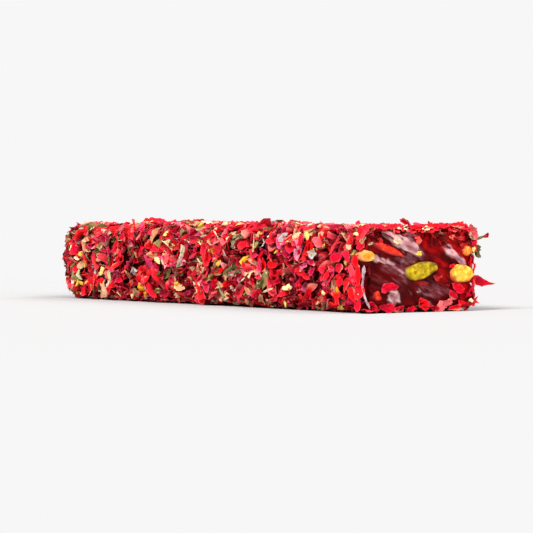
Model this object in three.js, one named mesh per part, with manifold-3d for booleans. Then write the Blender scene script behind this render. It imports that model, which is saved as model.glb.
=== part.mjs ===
// A bar of Turkish delight: a dark pomegranate jelly log studded with pistachio kernels, rolled in dried
// rose petals and sliced once across, so that the +X end shows the inside. Units are millimetres, +Z is up,
// the bar lies along X on its broad side, and its origin is the middle of the underside of its box.

import * as THREE from "three";
import { mergeVertices } from "three/addons/utils/BufferGeometryUtils.js";
import Module from "manifold-3d";

const wasm = await Module();
wasm.setup();

// Driving dimensions of the coated bar, without the petals that stand out of it.
const BAR_LENGTH = 196;
const BAR_WIDTH = 47.5;
const BAR_HEIGHT = 27.8;
const EDGE_RADIUS = 4.6; // of the four long edges
const END_ROUND_LENGTH = 21; // how far the pressed, coated end is rounded along the bar
const END_ROUND_DEPTH = 10.4; // how far the sides come in there
const END_SOFTEN = 2; // share by which the long edges' radius grows there

const HALF_WIDTH = BAR_WIDTH / 2;
const HALF_HEIGHT = BAR_HEIGHT / 2;
const COATED_END = -BAR_LENGTH / 2;
const CUT_END = BAR_LENGTH / 2;

// The packed bed of flakes is one skin of tilted scales, each a flake's size, with narrow valleys between.
const SCALE_LENGTH = 5.7; // along the bar
const SCALE_COLUMNS = 19; // round the sides and top
const UNDER_COLUMNS = 4; // across the underside, which the bar's own weight pressed flat
const SCALE_VALLEY = 0.11; // share of a scale that its edges draw in, which leaves the valleys
const SCALE_JITTER = 0.36; // share of a scale that its corners wander
const STATION_WANDER = 0.22; // share of a scale that a whole row of corners wanders along the bar
const SCALE_LIFT = 0.5; // how far a scale's middle lies above or below the mean skin
const SCALE_TILT = 0.75; // how far a scale's edges rise and fall about its middle
const PRESSED_SHARE = 0.7; // of the underside's scales that are pressed level with the table
const PRESSED_HOLLOW = 0.7; // depth of the others' hollows
const PRESSED_GIVE = 1; // how far the bar's weight lowers it where the coated end curves up from the table

// The largest petals are fused onto the bed.
const SIDE_PETALS = 50;
const END_PETALS = 4;
const RIM_PETALS = 12;
const PETAL_LENGTH = [5.0, 8.2];
const PETAL_ASPECT = [0.55, 0.85];
const PETAL_CURL = [0.2, 0.9]; // how far a petal's ends rise above its middle
const PETAL_RISE = 0.5; // how far a petal's middle stands above the mean skin
const PETAL_TILT = [2, 17]; // degrees between a petal and the skin
const PRESSED_PETAL = { depth: 2.4, share: 0.62 }; // its underside is pressed into the bed
const LOOSE_PETAL = { depth: 0.6, share: 1 }; // a plate that stands free at one end
const RIM_SHARES = [0.13, 0.93]; // the stretch of the rim that they are set on, clear of the underside
const RIM_LEAN = [-10, 24]; // degrees that a petal at the slice's rim leans out from the bar's length

// The petals that stand out farthest, from a root in the bed to a tip, with the way their broad side faces.
const STANDING_PETALS = [
  { root: [95.5, 20.5, 10.7], tip: [99.5, 31.0, 8.7], width: 6.2, facing: [0.75, -0.2, 0.6] },
  { root: [-27.5, -17.5, 26.4], tip: [-36.5, -18.0, 30.8], width: 6.0, facing: [0.35, 0.1, 1] },
];
const CUT_MARGIN = 3; // the log is made this much too long, and the slice takes it off

// The slice through the soft jelly leaves low ridges and hollows: y and z of the middle, half length along
// the slope, half width across it, height, and the slope in degrees.
const CUT_RIDGES = [
  { y: -6.6, z: 22.4, long: 9.0, wide: 2.6, high: 1.5, slope: -28 },
  { y: 13.9, z: 18.9, long: 6.5, wide: 2.4, high: 1.3, slope: -30 },
  { y: -11.8, z: 7.7, long: 4.2, wide: 5.0, high: 1.2, slope: 70 },
  { y: -19.2, z: 11.5, long: 7.5, wide: 2.6, high: -1.7, slope: 88 },
  { y: 7.9, z: 8.6, long: 8.0, wide: 3.0, high: -1.1, slope: 6 },
  { y: 8.4, z: 22.7, long: 7.0, wide: 2.6, high: -1.0, slope: -8 },
];
const CUT_CELL = 2.9; // facet size of the sliced surface
const CUT_ROUGHNESS = 0.22;

const SOCKET_GAP = 0.35; // clearance round what is set in the jelly
const INCLUSION_BUMP = 0.05; // share that its skin swells and shrinks

// What the slice shows in the jelly: y and z of the middle, half length, half width and half depth, the
// slope in degrees, how far its own sliced face stands out of the jelly's, and the share that it narrows from
// its middle to its tip.
const INCLUSIONS = [
  { name: "pistachio_middle", y: 1.1, z: 13.6, size: [7.2, 3.0, 4.6], slope: 12, proud: 0.9, taper: 0.2 },
  { name: "pistachio_right", y: 18.0, z: 12.4, size: [5.3, 3.2, 5.0], slope: -4, proud: 1.1, taper: 0.2 },
  { name: "pistachio_left", y: -20.8, z: 18.6, size: [3.0, 1.9, 4.0], slope: -4, proud: 0.9, taper: 0.2 },
  { name: "fruit_strip", y: -12.1, z: 20.4, size: [6.9, 1.5, 2.4], slope: -19, proud: 0.8, taper: 0.25 },
  { name: "fruit_chip_low", y: -16.5, z: 5.7, size: [2.1, 1.7, 2.2], slope: 40, proud: 0.5, taper: 0 },
  { name: "fruit_chip_right", y: 20.3, z: 19.8, size: [2.0, 1.7, 2.2], slope: 25, proud: 0.9, taper: 0 },
];

const MATERIALS = {
  coat: new THREE.MeshStandardMaterial({ color: 0xb3262c, roughness: 0.75, metalness: 0 }),
  nut: new THREE.MeshStandardMaterial({ color: 0xc9a420, roughness: 0.6, metalness: 0 }),
  fruit: new THREE.MeshStandardMaterial({ color: 0xd2451f, roughness: 0.35, metalness: 0 }),
};

const ALONG = new THREE.Vector3(1, 0, 0);
const fraction = (x) => x - Math.floor(x);
const mix = (range, share) => range[0] + (range[1] - range[0]) * share;

/** A repeatable scatter from 0 to 1 for item i, with one series for each use. */
function scatter(i, series) {
  return fraction(Math.sin(i * 127.1 + series * 311.7) * 43758.5453);
}

/** An evenly spread point i of the unit square, from the plastic number's additive sequence. */
function evenPoint(i) {
  return [fraction(0.5 + i * 0.7548776662466927), fraction(0.5 + i * 0.5698402909980532)];
}

/** A point on a rounded rectangle round (0, 0), a share of the way round it from the underside's middle. */
function roundedRectangle(share, halfWidth, halfHeight, radius) {
  const flat = [halfWidth - radius, 2 * (halfHeight - radius), 2 * (halfWidth - radius)];
  const arc = (Math.PI / 2) * radius;
  const legs = [flat[0], arc, flat[1], arc, flat[2], arc, flat[1], arc, flat[0]];
  let left = fraction(share) * legs.reduce((a, b) => a + b);
  let leg = 0;
  while (leg < legs.length - 1 && left > legs[leg]) {
    left -= legs[leg];
    leg += 1;
  }
  const quarter = Math.floor(leg / 2); // sides: 0 underside, 1 +Y, 2 top, 3 -Y, 4 underside again
  const turn = (quarter * Math.PI) / 2;
  const across = quarter % 2 ? halfWidth : halfHeight; // from the middle to this side
  const reach = (quarter % 2 ? halfHeight : halfWidth) - radius;
  const start = leg === 0 ? 0 : -reach; // along the side, counter-clockwise seen from +X
  let along = start + left;
  let out = across;
  if (leg % 2) {
    along = reach + radius * Math.sin(left / radius);
    out = across - radius + radius * Math.cos(left / radius);
  }
  // The underside runs towards +Y with its outside down, and each next side is a quarter turn further.
  const y = along * Math.cos(turn) + out * Math.sin(turn);
  const z = along * Math.sin(turn) - out * Math.cos(turn);
  return [y, z];
}

/**
 * The mean skin at a place along the bar and a share of the way round it, with the hand-pressed waviness. A
 * place beyond the coated end counts as a distance in from the rim of its flat.
 */
function skinPoint(place, share) {
  const x = Math.max(place, COATED_END);
  const into = Math.min(1, (x - COATED_END) / END_ROUND_LENGTH);
  const inset = END_ROUND_DEPTH * (1 - Math.sqrt(1 - (1 - into) ** 2)) + x - place;
  const soft = EDGE_RADIUS * (1 + (END_SOFTEN * inset) / END_ROUND_DEPTH);
  const radius = Math.max(Math.min(soft, 0.8 * (HALF_HEIGHT - inset)), 0.3);
  const [y, z] = roundedRectangle(share, HALF_WIDTH - inset, HALF_HEIGHT - inset, radius);
  const upper = (z + HALF_HEIGHT) / BAR_HEIGHT;
  const sway = 0.45 * Math.sin(x * 0.034 + 0.8);
  const swell = upper * (0.4 * Math.sin(x * 0.051 + 2.1) + 0.25 * Math.sin(x * 0.117 + y * 0.09));
  return new THREE.Vector3(x, y + sway, z + HALF_HEIGHT + swell);
}

/** The skin's outward normal, from its slopes along the bar and round it. */
function skinNormal(x, share) {
  const step = 0.2;
  const along = skinPoint(x + step, share).sub(skinPoint(x - step, share));
  const round = skinPoint(x, share + 0.002).sub(skinPoint(x, share - 0.002));
  return round.cross(along).normalize();
}

/** A closed solid from a geometry, with its shared corners merged. */
function solid(geometry) {
  const bare = geometry.index ? geometry.toNonIndexed() : geometry.clone();
  const points = new THREE.BufferGeometry().setAttribute("position", bare.getAttribute("position"));
  const merged = mergeVertices(points, 1e-4);
  return new wasm.Manifold(
    new wasm.Mesh({
      numProp: 3,
      vertProperties: new Float32Array(merged.attributes.position.array),
      triVerts: new Uint32Array(merged.index.array),
    }),
  );
}

/** A geometry from corner points and triangles of their indices. */
function meshOf(points, triangles) {
  const geometry = new THREE.BufferGeometry();
  geometry.setAttribute("position", new THREE.Float32BufferAttribute(points.flatMap((p) => p.toArray()), 3));
  return geometry.setIndex(triangles.flat());
}

/** The share of the way round the bar at which the underside ends and the coat's small scales begin. */
function underShare() {
  const round = 4 * (HALF_WIDTH + HALF_HEIGHT - 2 * EDGE_RADIUS) + 2 * Math.PI * EDGE_RADIUS;
  return (HALF_WIDTH - EDGE_RADIUS + 0.35 * EDGE_RADIUS) / round;
}

/** The corners' places along X: over the coated end and its rounding, then on to the end that is sliced. */
function stations() {
  const list = [-2.6, 0.0, 2.4, 7.6].map((t) => COATED_END + t);
  const from = COATED_END + 14;
  const to = CUT_END + CUT_MARGIN;
  const steps = Math.round((to - from) / SCALE_LENGTH);
  for (let i = 0; i <= steps; i += 1) {
    const wander = i > 0 && i < steps ? STATION_WANDER * (2 * scatter(i, 15) - 1) : 0;
    list.push(from + ((to - from) * (i + wander)) / steps);
  }
  return list;
}

/** The corners' shares of the way round: a few wide columns underneath, then the small ones over the rest. */
function columns() {
  const under = underShare();
  const wide = Array.from({ length: UNDER_COLUMNS }, (_, i) => under * ((2 * i) / UNDER_COLUMNS - 1));
  const step = (1 - 2 * under) / SCALE_COLUMNS;
  const small = Array.from({ length: SCALE_COLUMNS }, (_, i) => under + step * i);
  return [...wide, ...small];
}

/** One scale's four corners, drawn in from its cell's and lifted or tilted off the mean skin. */
function scaleCorners(i, cell, pressed) {
  const middle = { x: (cell.x[0] + cell.x[1]) / 2, share: (cell.share[0] + cell.share[1]) / 2 };
  const lean = [2 * scatter(i, 1) - 1, 2 * scatter(i, 2) - 1];
  const lift = SCALE_LIFT * (2 * scatter(i, 3) - 1);
  const level = scatter(i, 4) < PRESSED_SHARE;
  return cell.corners.map((corner, k) => {
    const x = THREE.MathUtils.lerp(corner.x, middle.x, SCALE_VALLEY);
    const share = THREE.MathUtils.lerp(corner.share, middle.share, SCALE_VALLEY);
    const point = skinPoint(x, share);
    if (pressed) {
      point.z = Math.max(point.z - PRESSED_GIVE, level ? 0 : PRESSED_HOLLOW * scatter(i, 5 + k));
      return point;
    }
    const rise = lean[0] * (k > 1 ? 1 : -1) + lean[1] * (k === 1 || k === 2 ? 1 : -1);
    point.addScaledVector(skinNormal(x, share), lift + 0.5 * SCALE_TILT * rise);
    point.z = Math.max(point.z, 0);
    return point;
  });
}

/** The log with its bed of flakes: rings of tilted scales, bridged to their neighbours along and round. */
function coatedLog() {
  const along = stations();
  const round = columns();
  const rows = along.length - 1;
  const count = round.length;
  const corner = (row, column) => {
    const i = row * count + (column % count);
    const turns = Math.floor(column / count);
    const loose = row > 3 && row < rows && column % count !== UNDER_COLUMNS ? SCALE_JITTER : 0;
    const x = along[row] + loose * SCALE_LENGTH * (2 * scatter(i, 9) - 1);
    const width = (1 - 2 * underShare()) / SCALE_COLUMNS;
    return { x, share: round[column % count] + turns + loose * width * (2 * scatter(i, 10) - 1) };
  };
  const points = [];
  const triangles = [];
  const at = (row, column, k) => 4 * (row * count + (column % count)) + k;
  const quad = (a, b, c, d) => triangles.push([a, b, c], [a, c, d]);
  for (let row = 0; row < rows; row += 1) {
    for (let column = 0; column < count; column += 1) {
      const corners = [
        corner(row, column),
        corner(row, column + 1),
        corner(row + 1, column + 1),
        corner(row + 1, column),
      ];
      const x = [along[row], along[row + 1]];
      const share = [(corners[0].share + corners[3].share) / 2, (corners[1].share + corners[2].share) / 2];
      points.push(...scaleCorners(row * count + column, { x, share, corners }, column < UNDER_COLUMNS));
    }
  }
  for (let row = 0; row < rows; row += 1) {
    for (let column = 0; column < count; column += 1) {
      const [right, up] = [column + 1, row + 1];
      quad(at(row, column, 0), at(row, column, 1), at(row, column, 2), at(row, column, 3));
      quad(at(row, column, 1), at(row, right, 0), at(row, right, 3), at(row, column, 2));
      if (up === rows) continue;
      quad(at(row, column, 3), at(row, column, 2), at(up, column, 1), at(up, column, 0));
      quad(at(row, column, 2), at(row, right, 3), at(up, right, 0), at(up, column, 1));
    }
  }
  const coatedMiddle = points.push(new THREE.Vector3(COATED_END - 0.5, 0, HALF_HEIGHT)) - 1;
  const cutMiddle = points.push(new THREE.Vector3(CUT_END + CUT_MARGIN, 0, HALF_HEIGHT)) - 1;
  for (let column = 0; column < count; column += 1) {
    triangles.push([coatedMiddle, at(0, column, 1), at(0, column, 0)]);
    triangles.push([coatedMiddle, at(0, column + 1, 0), at(0, column, 1)]);
    triangles.push([cutMiddle, at(rows - 1, column, 3), at(rows - 1, column, 2)]);
    triangles.push([cutMiddle, at(rows - 1, column, 2), at(rows - 1, column + 1, 3)]);
  }
  return meshOf(points, triangles);
}

/**
 * A torn, curled petal of five corners in its own plane, with its long axis along local X. Its underside
 * lies a depth below its top and is drawn in to a share of the outline.
 */
function petal(i, length, width, { depth, share }) {
  const corners = [
    [-0.5, -0.12],
    [-0.1, -0.5],
    [0.42, -0.34],
    [0.5, 0.22],
    [-0.14, 0.5],
  ].map(([u, v], k) => {
    const worn = 0.78 + 0.3 * scatter(i, 20 + k);
    return [u * worn * length, v * worn * width];
  });
  const curl = mix(PETAL_CURL, scatter(i, 30));
  const height = ([u, v]) => curl * ((2 * u) / length) ** 2 + 0.5 * curl * ((2 * v) / width) ** 2;
  const count = corners.length;
  const points = [];
  for (const corner of corners) points.push(new THREE.Vector3(...corner, height(corner)));
  for (const [u, v] of corners) {
    const drawn = [u * share, v * share];
    points.push(new THREE.Vector3(...drawn, height(drawn) - depth));
  }
  const triangles = [];
  for (let k = 0; k < count; k += 1) {
    const next = (k + 1) % count;
    triangles.push([k, count + next, next], [k, count + k, count + next]);
    if (k > 0 && k < count - 1) triangles.push([0, k, k + 1], [count, count + k + 1, count + k]);
  }
  return meshOf(points, triangles);
}

/** A petal set on the skin at a point: spun about the normal, lifted at its far end and sunk at its root. */
function setPetal(i, point, normal, length) {
  const width = length * mix(PETAL_ASPECT, scatter(i, 11));
  const tilt = THREE.MathUtils.degToRad(mix(PETAL_TILT, scatter(i, 12) ** 1.8));
  const spin = 2 * Math.PI * scatter(i, 13);
  const rise = PETAL_RISE + 0.3 * length * Math.sin(tilt);
  const place = new THREE.Matrix4()
    .makeTranslation(point.clone().addScaledVector(normal, rise))
    .multiply(
      new THREE.Matrix4().makeRotationFromQuaternion(
        new THREE.Quaternion().setFromUnitVectors(new THREE.Vector3(0, 0, 1), normal),
      ),
    )
    .multiply(new THREE.Matrix4().makeRotationZ(spin))
    .multiply(new THREE.Matrix4().makeRotationY(-tilt));
  return petal(i, length, width, PRESSED_PETAL).applyMatrix4(place);
}

/** The largest petals, spread evenly over the long faces and the coated end, with the largest made first. */
function coatPetals() {
  const petals = [];
  for (let i = 0; i < SIDE_PETALS; i += 1) {
    const [along, round] = evenPoint(i);
    const x = mix([COATED_END + 3, CUT_END + 1], along);
    const share = mix([underShare() * 1.12, 1 - underShare() * 1.12], round);
    const length = mix(PETAL_LENGTH, 1 - i / SIDE_PETALS);
    petals.push(setPetal(i, skinPoint(x, share), skinNormal(x, share), length));
  }
  for (let i = 0; i < END_PETALS; i += 1) {
    const [across, up] = evenPoint(i);
    const y = (HALF_WIDTH - END_ROUND_DEPTH) * (2 * across - 1);
    const z = HALF_HEIGHT + (HALF_HEIGHT - END_ROUND_DEPTH) * (2 * up - 1);
    const point = new THREE.Vector3(COATED_END, y, z);
    petals.push(setPetal(SIDE_PETALS + i, point, ALONG.clone().negate(), PETAL_LENGTH[0] + 1));
  }
  return petals;
}

/** A loose petal from its root to its tip, which is its pointed end. */
function looseBetween(i, root, tip, width, facing) {
  const inward = root.clone().sub(tip);
  const length = inward.length();
  inward.normalize();
  const side = facing.clone().cross(inward).normalize();
  const basis = new THREE.Matrix4()
    .makeBasis(inward, side, inward.clone().cross(side))
    .setPosition(root.clone().add(tip).multiplyScalar(0.5));
  return petal(i, length, width, LOOSE_PETAL).applyMatrix4(basis);
}

/** The few petals that stand out far enough to see in the bar's outline. */
function standingPetals() {
  const vector = (values) => new THREE.Vector3(...values);
  return STANDING_PETALS.map(({ root, tip, width, facing }, i) =>
    looseBetween(i, vector(root), vector(tip), width, vector(facing)),
  );
}

/** Petals that the knife dragged over the edge, leaning out past the sliced face all round its rim. */
function rimPetals() {
  return Array.from({ length: RIM_PETALS }, (_, i) => {
    const share = mix(RIM_SHARES, (i + 0.5 * scatter(i, 41)) / RIM_PETALS);
    const x = CUT_END - 1.6;
    const normal = skinNormal(x, share);
    const point = skinPoint(x, share).addScaledVector(normal, 0.25);
    const length = mix(PETAL_LENGTH, 0.3 + 0.6 * scatter(i, 42));
    const lean = THREE.MathUtils.degToRad(mix(RIM_LEAN, scatter(i, 43)));
    const side = new THREE.Vector3().crossVectors(normal, ALONG).normalize();
    const half = ALONG.clone().applyAxisAngle(side, -lean).multiplyScalar(length / 2);
    const [root, tip] = [point.clone().sub(half), point.clone().add(half)];
    return looseBetween(SIDE_PETALS + END_PETALS + i, root, tip, length * PETAL_ASPECT[0], normal);
  });
}

/** Height of the sliced surface above its mean plane at (y, z). */
function cutRelief(y, z) {
  let height = 0;
  for (const ridge of CUT_RIDGES) {
    const slope = THREE.MathUtils.degToRad(ridge.slope);
    const along = (y - ridge.y) * Math.cos(slope) + (z - ridge.z) * Math.sin(slope);
    const across = (z - ridge.z) * Math.cos(slope) - (y - ridge.y) * Math.sin(slope);
    height += ridge.high * Math.exp(-((along / ridge.long) ** 2) - (across / ridge.wide) ** 2);
  }
  return height;
}

/** What the knife takes away: a block beyond the cut end whose near face is the sliced surface. */
function knifeBlock() {
  const low = { y: -HALF_WIDTH - 6, z: -6 };
  const columns = Math.ceil((BAR_WIDTH + 12) / CUT_CELL);
  const rows = Math.ceil((BAR_HEIGHT + 12) / CUT_CELL);
  const points = [];
  for (const back of [false, true]) {
    for (let row = 0; row <= rows; row += 1) {
      for (let column = 0; column <= columns; column += 1) {
        const shift = row % 2 && column > 0 && column < columns ? 0.5 : 0;
        const y = low.y + (column + shift) * CUT_CELL;
        const z = low.z + row * CUT_CELL;
        const rough = CUT_ROUGHNESS * (2 * scatter(row * 64 + column, 51) - 1);
        points.push(new THREE.Vector3(back ? CUT_END + 40 : CUT_END + cutRelief(y, z) + rough, y, z));
      }
    }
  }
  const width = columns + 1;
  const layer = width * (rows + 1);
  const triangles = [];
  for (let row = 0; row < rows; row += 1) {
    for (let column = 0; column < columns; column += 1) {
      const a = row * width + column;
      const [b, c, d] = [a + 1, a + width, a + width + 1];
      const split = row % 2 ? [[a, c, b], [b, c, d]] : [[a, d, b], [a, c, d]];
      triangles.push(...split, ...split.map(([p, q, r]) => [p + layer, r + layer, q + layer]));
    }
  }
  const wall = (p, q) => triangles.push([p, q, q + layer], [p, q + layer, p + layer]);
  for (let column = 0; column < columns; column += 1) {
    wall(column, column + 1);
    wall(rows * width + column + 1, rows * width + column);
  }
  for (let row = 0; row < rows; row += 1) {
    wall((row + 1) * width, row * width);
    wall(row * width + columns, (row + 1) * width + columns);
  }
  return meshOf(points, triangles);
}

/** Whether a piece set in the jelly is a nut. */
function isNut(inclusion) {
  return inclusion.name.startsWith("pistachio");
}

/** A nut or piece of fruit, swollen by a margin all over, with its length along its slope in the slice. */
function inclusionBlank(inclusion, margin) {
  const blank = new THREE.IcosahedronGeometry(1, isNut(inclusion) ? 2 : 1);
  const [long, wide, deep] = inclusion.size.map((half) => half + margin);
  const position = blank.attributes.position;
  const point = new THREE.Vector3();
  for (let i = 0; i < position.count; i += 1) {
    point.fromBufferAttribute(position, i);
    const taper = 1 - inclusion.taper * point.x;
    const wave = Math.sin(5 * point.x + 3 * point.y + inclusion.y) * Math.cos(4 * point.y - 2 * point.z);
    const bump = 1 + INCLUSION_BUMP * wave;
    // Local X runs along the length, local Y across it in the slice, and local Z out of the slice.
    position.setXYZ(i, point.x * long * bump, point.y * wide * taper * bump, point.z * deep * bump);
  }
  const slope = THREE.MathUtils.degToRad(inclusion.slope);
  const along = new THREE.Vector3(0, Math.cos(slope), Math.sin(slope));
  const across = new THREE.Vector3(0, -Math.sin(slope), Math.cos(slope));
  const basis = new THREE.Matrix4()
    .makeBasis(along, across, new THREE.Vector3(1, 0, 0))
    .setPosition(CUT_END - 0.25 * inclusion.size[2], inclusion.y, inclusion.z);
  return blank.applyMatrix4(basis);
}

/** A flat block from x on, which trims what stands too far out of the slice. */
function blockBeyond(x) {
  return new THREE.BoxGeometry(40, 90, 70).translate(x + 20, 0, 10);
}

/** The piece set in the jelly, with its own sliced face a little proud of the jelly's. */
function inclusionSolid(inclusion) {
  const level = CUT_END + cutRelief(inclusion.y, inclusion.z) + inclusion.proud;
  return solid(inclusionBlank(inclusion, 0)).subtract(solid(blockBeyond(level)));
}

/** Only the outer skin of the largest body, so that loose scraps go and sealed hollows are filled. */
function largestBody(whole) {
  const mesh = whole.getMesh();
  const owner = Array.from({ length: mesh.numVert }, (_, i) => i);
  const find = (i) => {
    while (owner[i] !== i) {
      owner[i] = owner[owner[i]];
      i = owner[i];
    }
    return i;
  };
  for (let t = 0; t < mesh.numTri; t += 1) {
    const [a, b, c] = mesh.triVerts.subarray(3 * t, 3 * t + 3);
    owner[find(a)] = find(b);
    owner[find(b)] = find(c);
  }
  const groups = new Map();
  for (let t = 0; t < mesh.numTri; t += 1) {
    const root = find(mesh.triVerts[3 * t]);
    if (!groups.has(root)) groups.set(root, []);
    groups.get(root).push(...mesh.triVerts.subarray(3 * t, 3 * t + 3));
  }
  const largest = [...groups.values()].reduce((a, b) => (a.length > b.length ? a : b));
  const points = Array.from({ length: mesh.numVert }, (_, i) =>
    new THREE.Vector3().fromArray(mesh.vertProperties, i * mesh.numProp),
  );
  return meshOf(points, largest);
}

/** The jelly with its coat: log and petals fused, sliced, pressed on the table and socketed for the nuts. */
function jellyBar() {
  const under = new THREE.BoxGeometry(400, 200, 40).translate(0, 0, -20);
  let bar = wasm.Manifold.union([coatedLog(), ...coatPetals()].map(solid));
  bar = bar.subtract(solid(knifeBlock()));
  bar = wasm.Manifold.union([bar, ...[...rimPetals(), ...standingPetals()].map(solid)]);
  bar = bar.subtract(solid(under));
  for (const inclusion of INCLUSIONS) {
    bar = bar.subtract(solid(inclusionBlank(inclusion, SOCKET_GAP)));
  }
  return largestBody(bar);
}

/** A named mesh of the part. */
function named(name, geometry, material) {
  const mesh = new THREE.Mesh(geometry, material);
  mesh.name = name;
  return mesh;
}

const turkishDelight = new THREE.Group();
turkishDelight.name = "turkish_delight";
turkishDelight.add(named("jelly_bar", jellyBar(), MATERIALS.coat));
for (const inclusion of INCLUSIONS) {
  const piece = largestBody(inclusionSolid(inclusion));
  turkishDelight.add(named(inclusion.name, piece, isNut(inclusion) ? MATERIALS.nut : MATERIALS.fruit));
}

// The petals reach further on one side than on the other, so the middle of the whole box is found here.
const box = new THREE.Box3().setFromObject(turkishDelight);
const middle = box.getCenter(new THREE.Vector3());
turkishDelight.position.set(-middle.x, -middle.y, -box.min.z);

export default turkishDelight;
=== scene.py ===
"""A bar of Turkish delight: dark pomegranate jelly with pistachios, rolled in rose petals and sliced once.

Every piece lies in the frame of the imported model: metres, +Z up, the bar along X with its sliced end at +X.
Sizes below are in millimetres, in the bar's own frame before it is centred, and `in_frame` takes them over.
"""

import logging
import math
from dataclasses import dataclass, replace
from enum import Enum

import bpy
import numpy as np
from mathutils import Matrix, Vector


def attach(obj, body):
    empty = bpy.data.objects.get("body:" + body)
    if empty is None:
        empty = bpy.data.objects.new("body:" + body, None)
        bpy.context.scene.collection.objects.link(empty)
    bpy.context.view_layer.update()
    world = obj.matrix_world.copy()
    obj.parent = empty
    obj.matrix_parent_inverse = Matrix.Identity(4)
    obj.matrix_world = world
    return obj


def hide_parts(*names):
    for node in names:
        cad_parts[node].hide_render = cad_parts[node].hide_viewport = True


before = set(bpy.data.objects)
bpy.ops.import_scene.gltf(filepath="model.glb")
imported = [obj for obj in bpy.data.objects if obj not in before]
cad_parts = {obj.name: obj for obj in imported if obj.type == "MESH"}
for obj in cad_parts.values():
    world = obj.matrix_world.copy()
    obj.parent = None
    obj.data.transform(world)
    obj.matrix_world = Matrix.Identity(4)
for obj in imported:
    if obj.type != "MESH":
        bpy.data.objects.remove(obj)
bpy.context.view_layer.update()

logging.basicConfig(level=logging.INFO, format="%(name)s: %(message)s")
LOG = logging.getLogger("turkish_delight")

Array = np.ndarray
Stops = tuple[tuple[float, str], ...]  # places from 0 to 1, each with a hex colour
MM = 0.001
BAR_PLACE = np.array([-0.045, -2.564, 0.0])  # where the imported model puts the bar's own origin
OUTWARD = np.array([1.0, 0.0, 0.0])  # the way the slice faces
ROOT = "root"
COATED_NODE = "jelly_bar"
COAT_SLOT = "rose_petal_coat"
KNIFE_SLOPE = -30.0  # degrees from +Y towards +Z, the way the knife smeared the slice
KNIFE_STRETCH = 0.33  # how much shorter a pattern's distances along it count
HASH_WAVES = np.array([127.1, 311.7, 74.7])  # the sine hash's turn for a step along each axis
HASH_SEED_STEP = 19.19  # and for a step of the seed
HASH_HEIGHT = 43758.5453  # what the sine is stretched to before its whole part is dropped
PLASTIC_STEPS = np.array([0.7548776662466927, 0.5698402909980532])  # steps that spread points over a square
GOLDEN_STEP = 0.618  # and on a line


# ---------------------------------------------------------------------------------------------------------
# Small helpers: colours, nodes, meshes and noise
# ---------------------------------------------------------------------------------------------------------


def linear(colour: str) -> tuple[float, float, float, float]:
    """The linear colour of an sRGB hex value.

    Args:
        colour: six hex digits after a hash sign.

    Returns:
        Linear red, green and blue, with an alpha of 1.
    """
    values = [int(colour[i : i + 2], 16) / 255 for i in (1, 3, 5)]
    return (*[v / 12.92 if v <= 0.04045 else ((v + 0.055) / 1.055) ** 2.4 for v in values], 1.0)


def add_node(
    tree: bpy.types.NodeTree,
    kind: str,
    values: dict[str | int, object] | None = None,
    links: dict[str | int, bpy.types.NodeSocket] | None = None,
    stops: Stops = (),
    **settings: object,
) -> bpy.types.Node:
    """Adds a node with its settings, the values of its inputs, the links into them and a ramp's colours.

    Args:
        tree: the node tree that takes the node.
        kind: the node's type name.
        values: input name or index to value.
        links: input name or index to the output socket that feeds it.
        stops: place from 0 to 1 and hex colour, in order, for a colour ramp.
        settings: the node's own properties.

    Returns:
        The node.
    """
    node = tree.nodes.new(kind)
    for name, value in settings.items():
        setattr(node, name, value)
    for key, value in (values or {}).items():
        node.inputs[key].default_value = value
    for key, socket in (links or {}).items():
        tree.links.new(socket, node.inputs[key])
    if stops:
        ramp = node.color_ramp
        for place, _ in stops[2:]:
            ramp.elements.new(place)
        for element, (place, colour) in zip(ramp.elements, stops):
            element.position, element.color = place, linear(colour)
    return node


def new_material(name: str) -> tuple[bpy.types.Material, bpy.types.NodeTree]:
    """Makes an empty node material.

    Args:
        name: the material's name.

    Returns:
        The material and its node tree.
    """
    material = bpy.data.materials.new(name)
    material.use_nodes = True
    material.node_tree.nodes.clear()
    return material, material.node_tree


def put_surface(
    tree: bpy.types.NodeTree,
    colour: bpy.types.NodeSocket,
    normal: bpy.types.NodeSocket,
    values: dict[str | int, object],
) -> None:
    """Ends a material with its shader and the output.

    Args:
        tree: the material's node tree.
        colour: the colour that the shader takes.
        normal: the bumped normal that it takes.
        values: the shader's other inputs.
    """
    links = {"Base Color": colour, "Normal": normal}
    shader = add_node(tree, "ShaderNodeBsdfPrincipled", values, links).outputs["BSDF"]
    add_node(tree, "ShaderNodeOutputMaterial", links={"Surface": shader})


def in_frame(points: Array) -> Array:
    """Points of the bar's own frame in millimetres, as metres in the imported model's frame."""
    return (points + BAR_PLACE) * MM


def put_mesh(name: str, points: Array, faces: list[Array]) -> bpy.types.Object:
    """An object whose mesh holds whole arrays of points and faces.

    Args:
        name: the piece's name.
        points: (n, 3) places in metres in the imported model's frame.
        faces: arrays of corner indices, one row for each face, all of one width within an array.

    Returns:
        The object, at the origin.
    """
    mesh = bpy.data.meshes.new(name)
    mesh.vertices.add(len(points))
    mesh.vertices.foreach_set("co", points.astype(np.float32).ravel())
    corners = np.concatenate([f.ravel() for f in faces]).astype(np.int32)
    sizes = np.concatenate([np.full(len(f), f.shape[1]) for f in faces])
    mesh.loops.add(len(corners))
    mesh.loops.foreach_set("vertex_index", corners)
    mesh.polygons.add(len(sizes))
    mesh.polygons.foreach_set("loop_start", (np.cumsum(sizes) - sizes).astype(np.int32))
    mesh.update(calc_edges=True)
    mesh.shade_smooth()
    piece = bpy.data.objects.new(name, mesh)
    bpy.context.scene.collection.objects.link(piece)
    return piece


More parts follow.
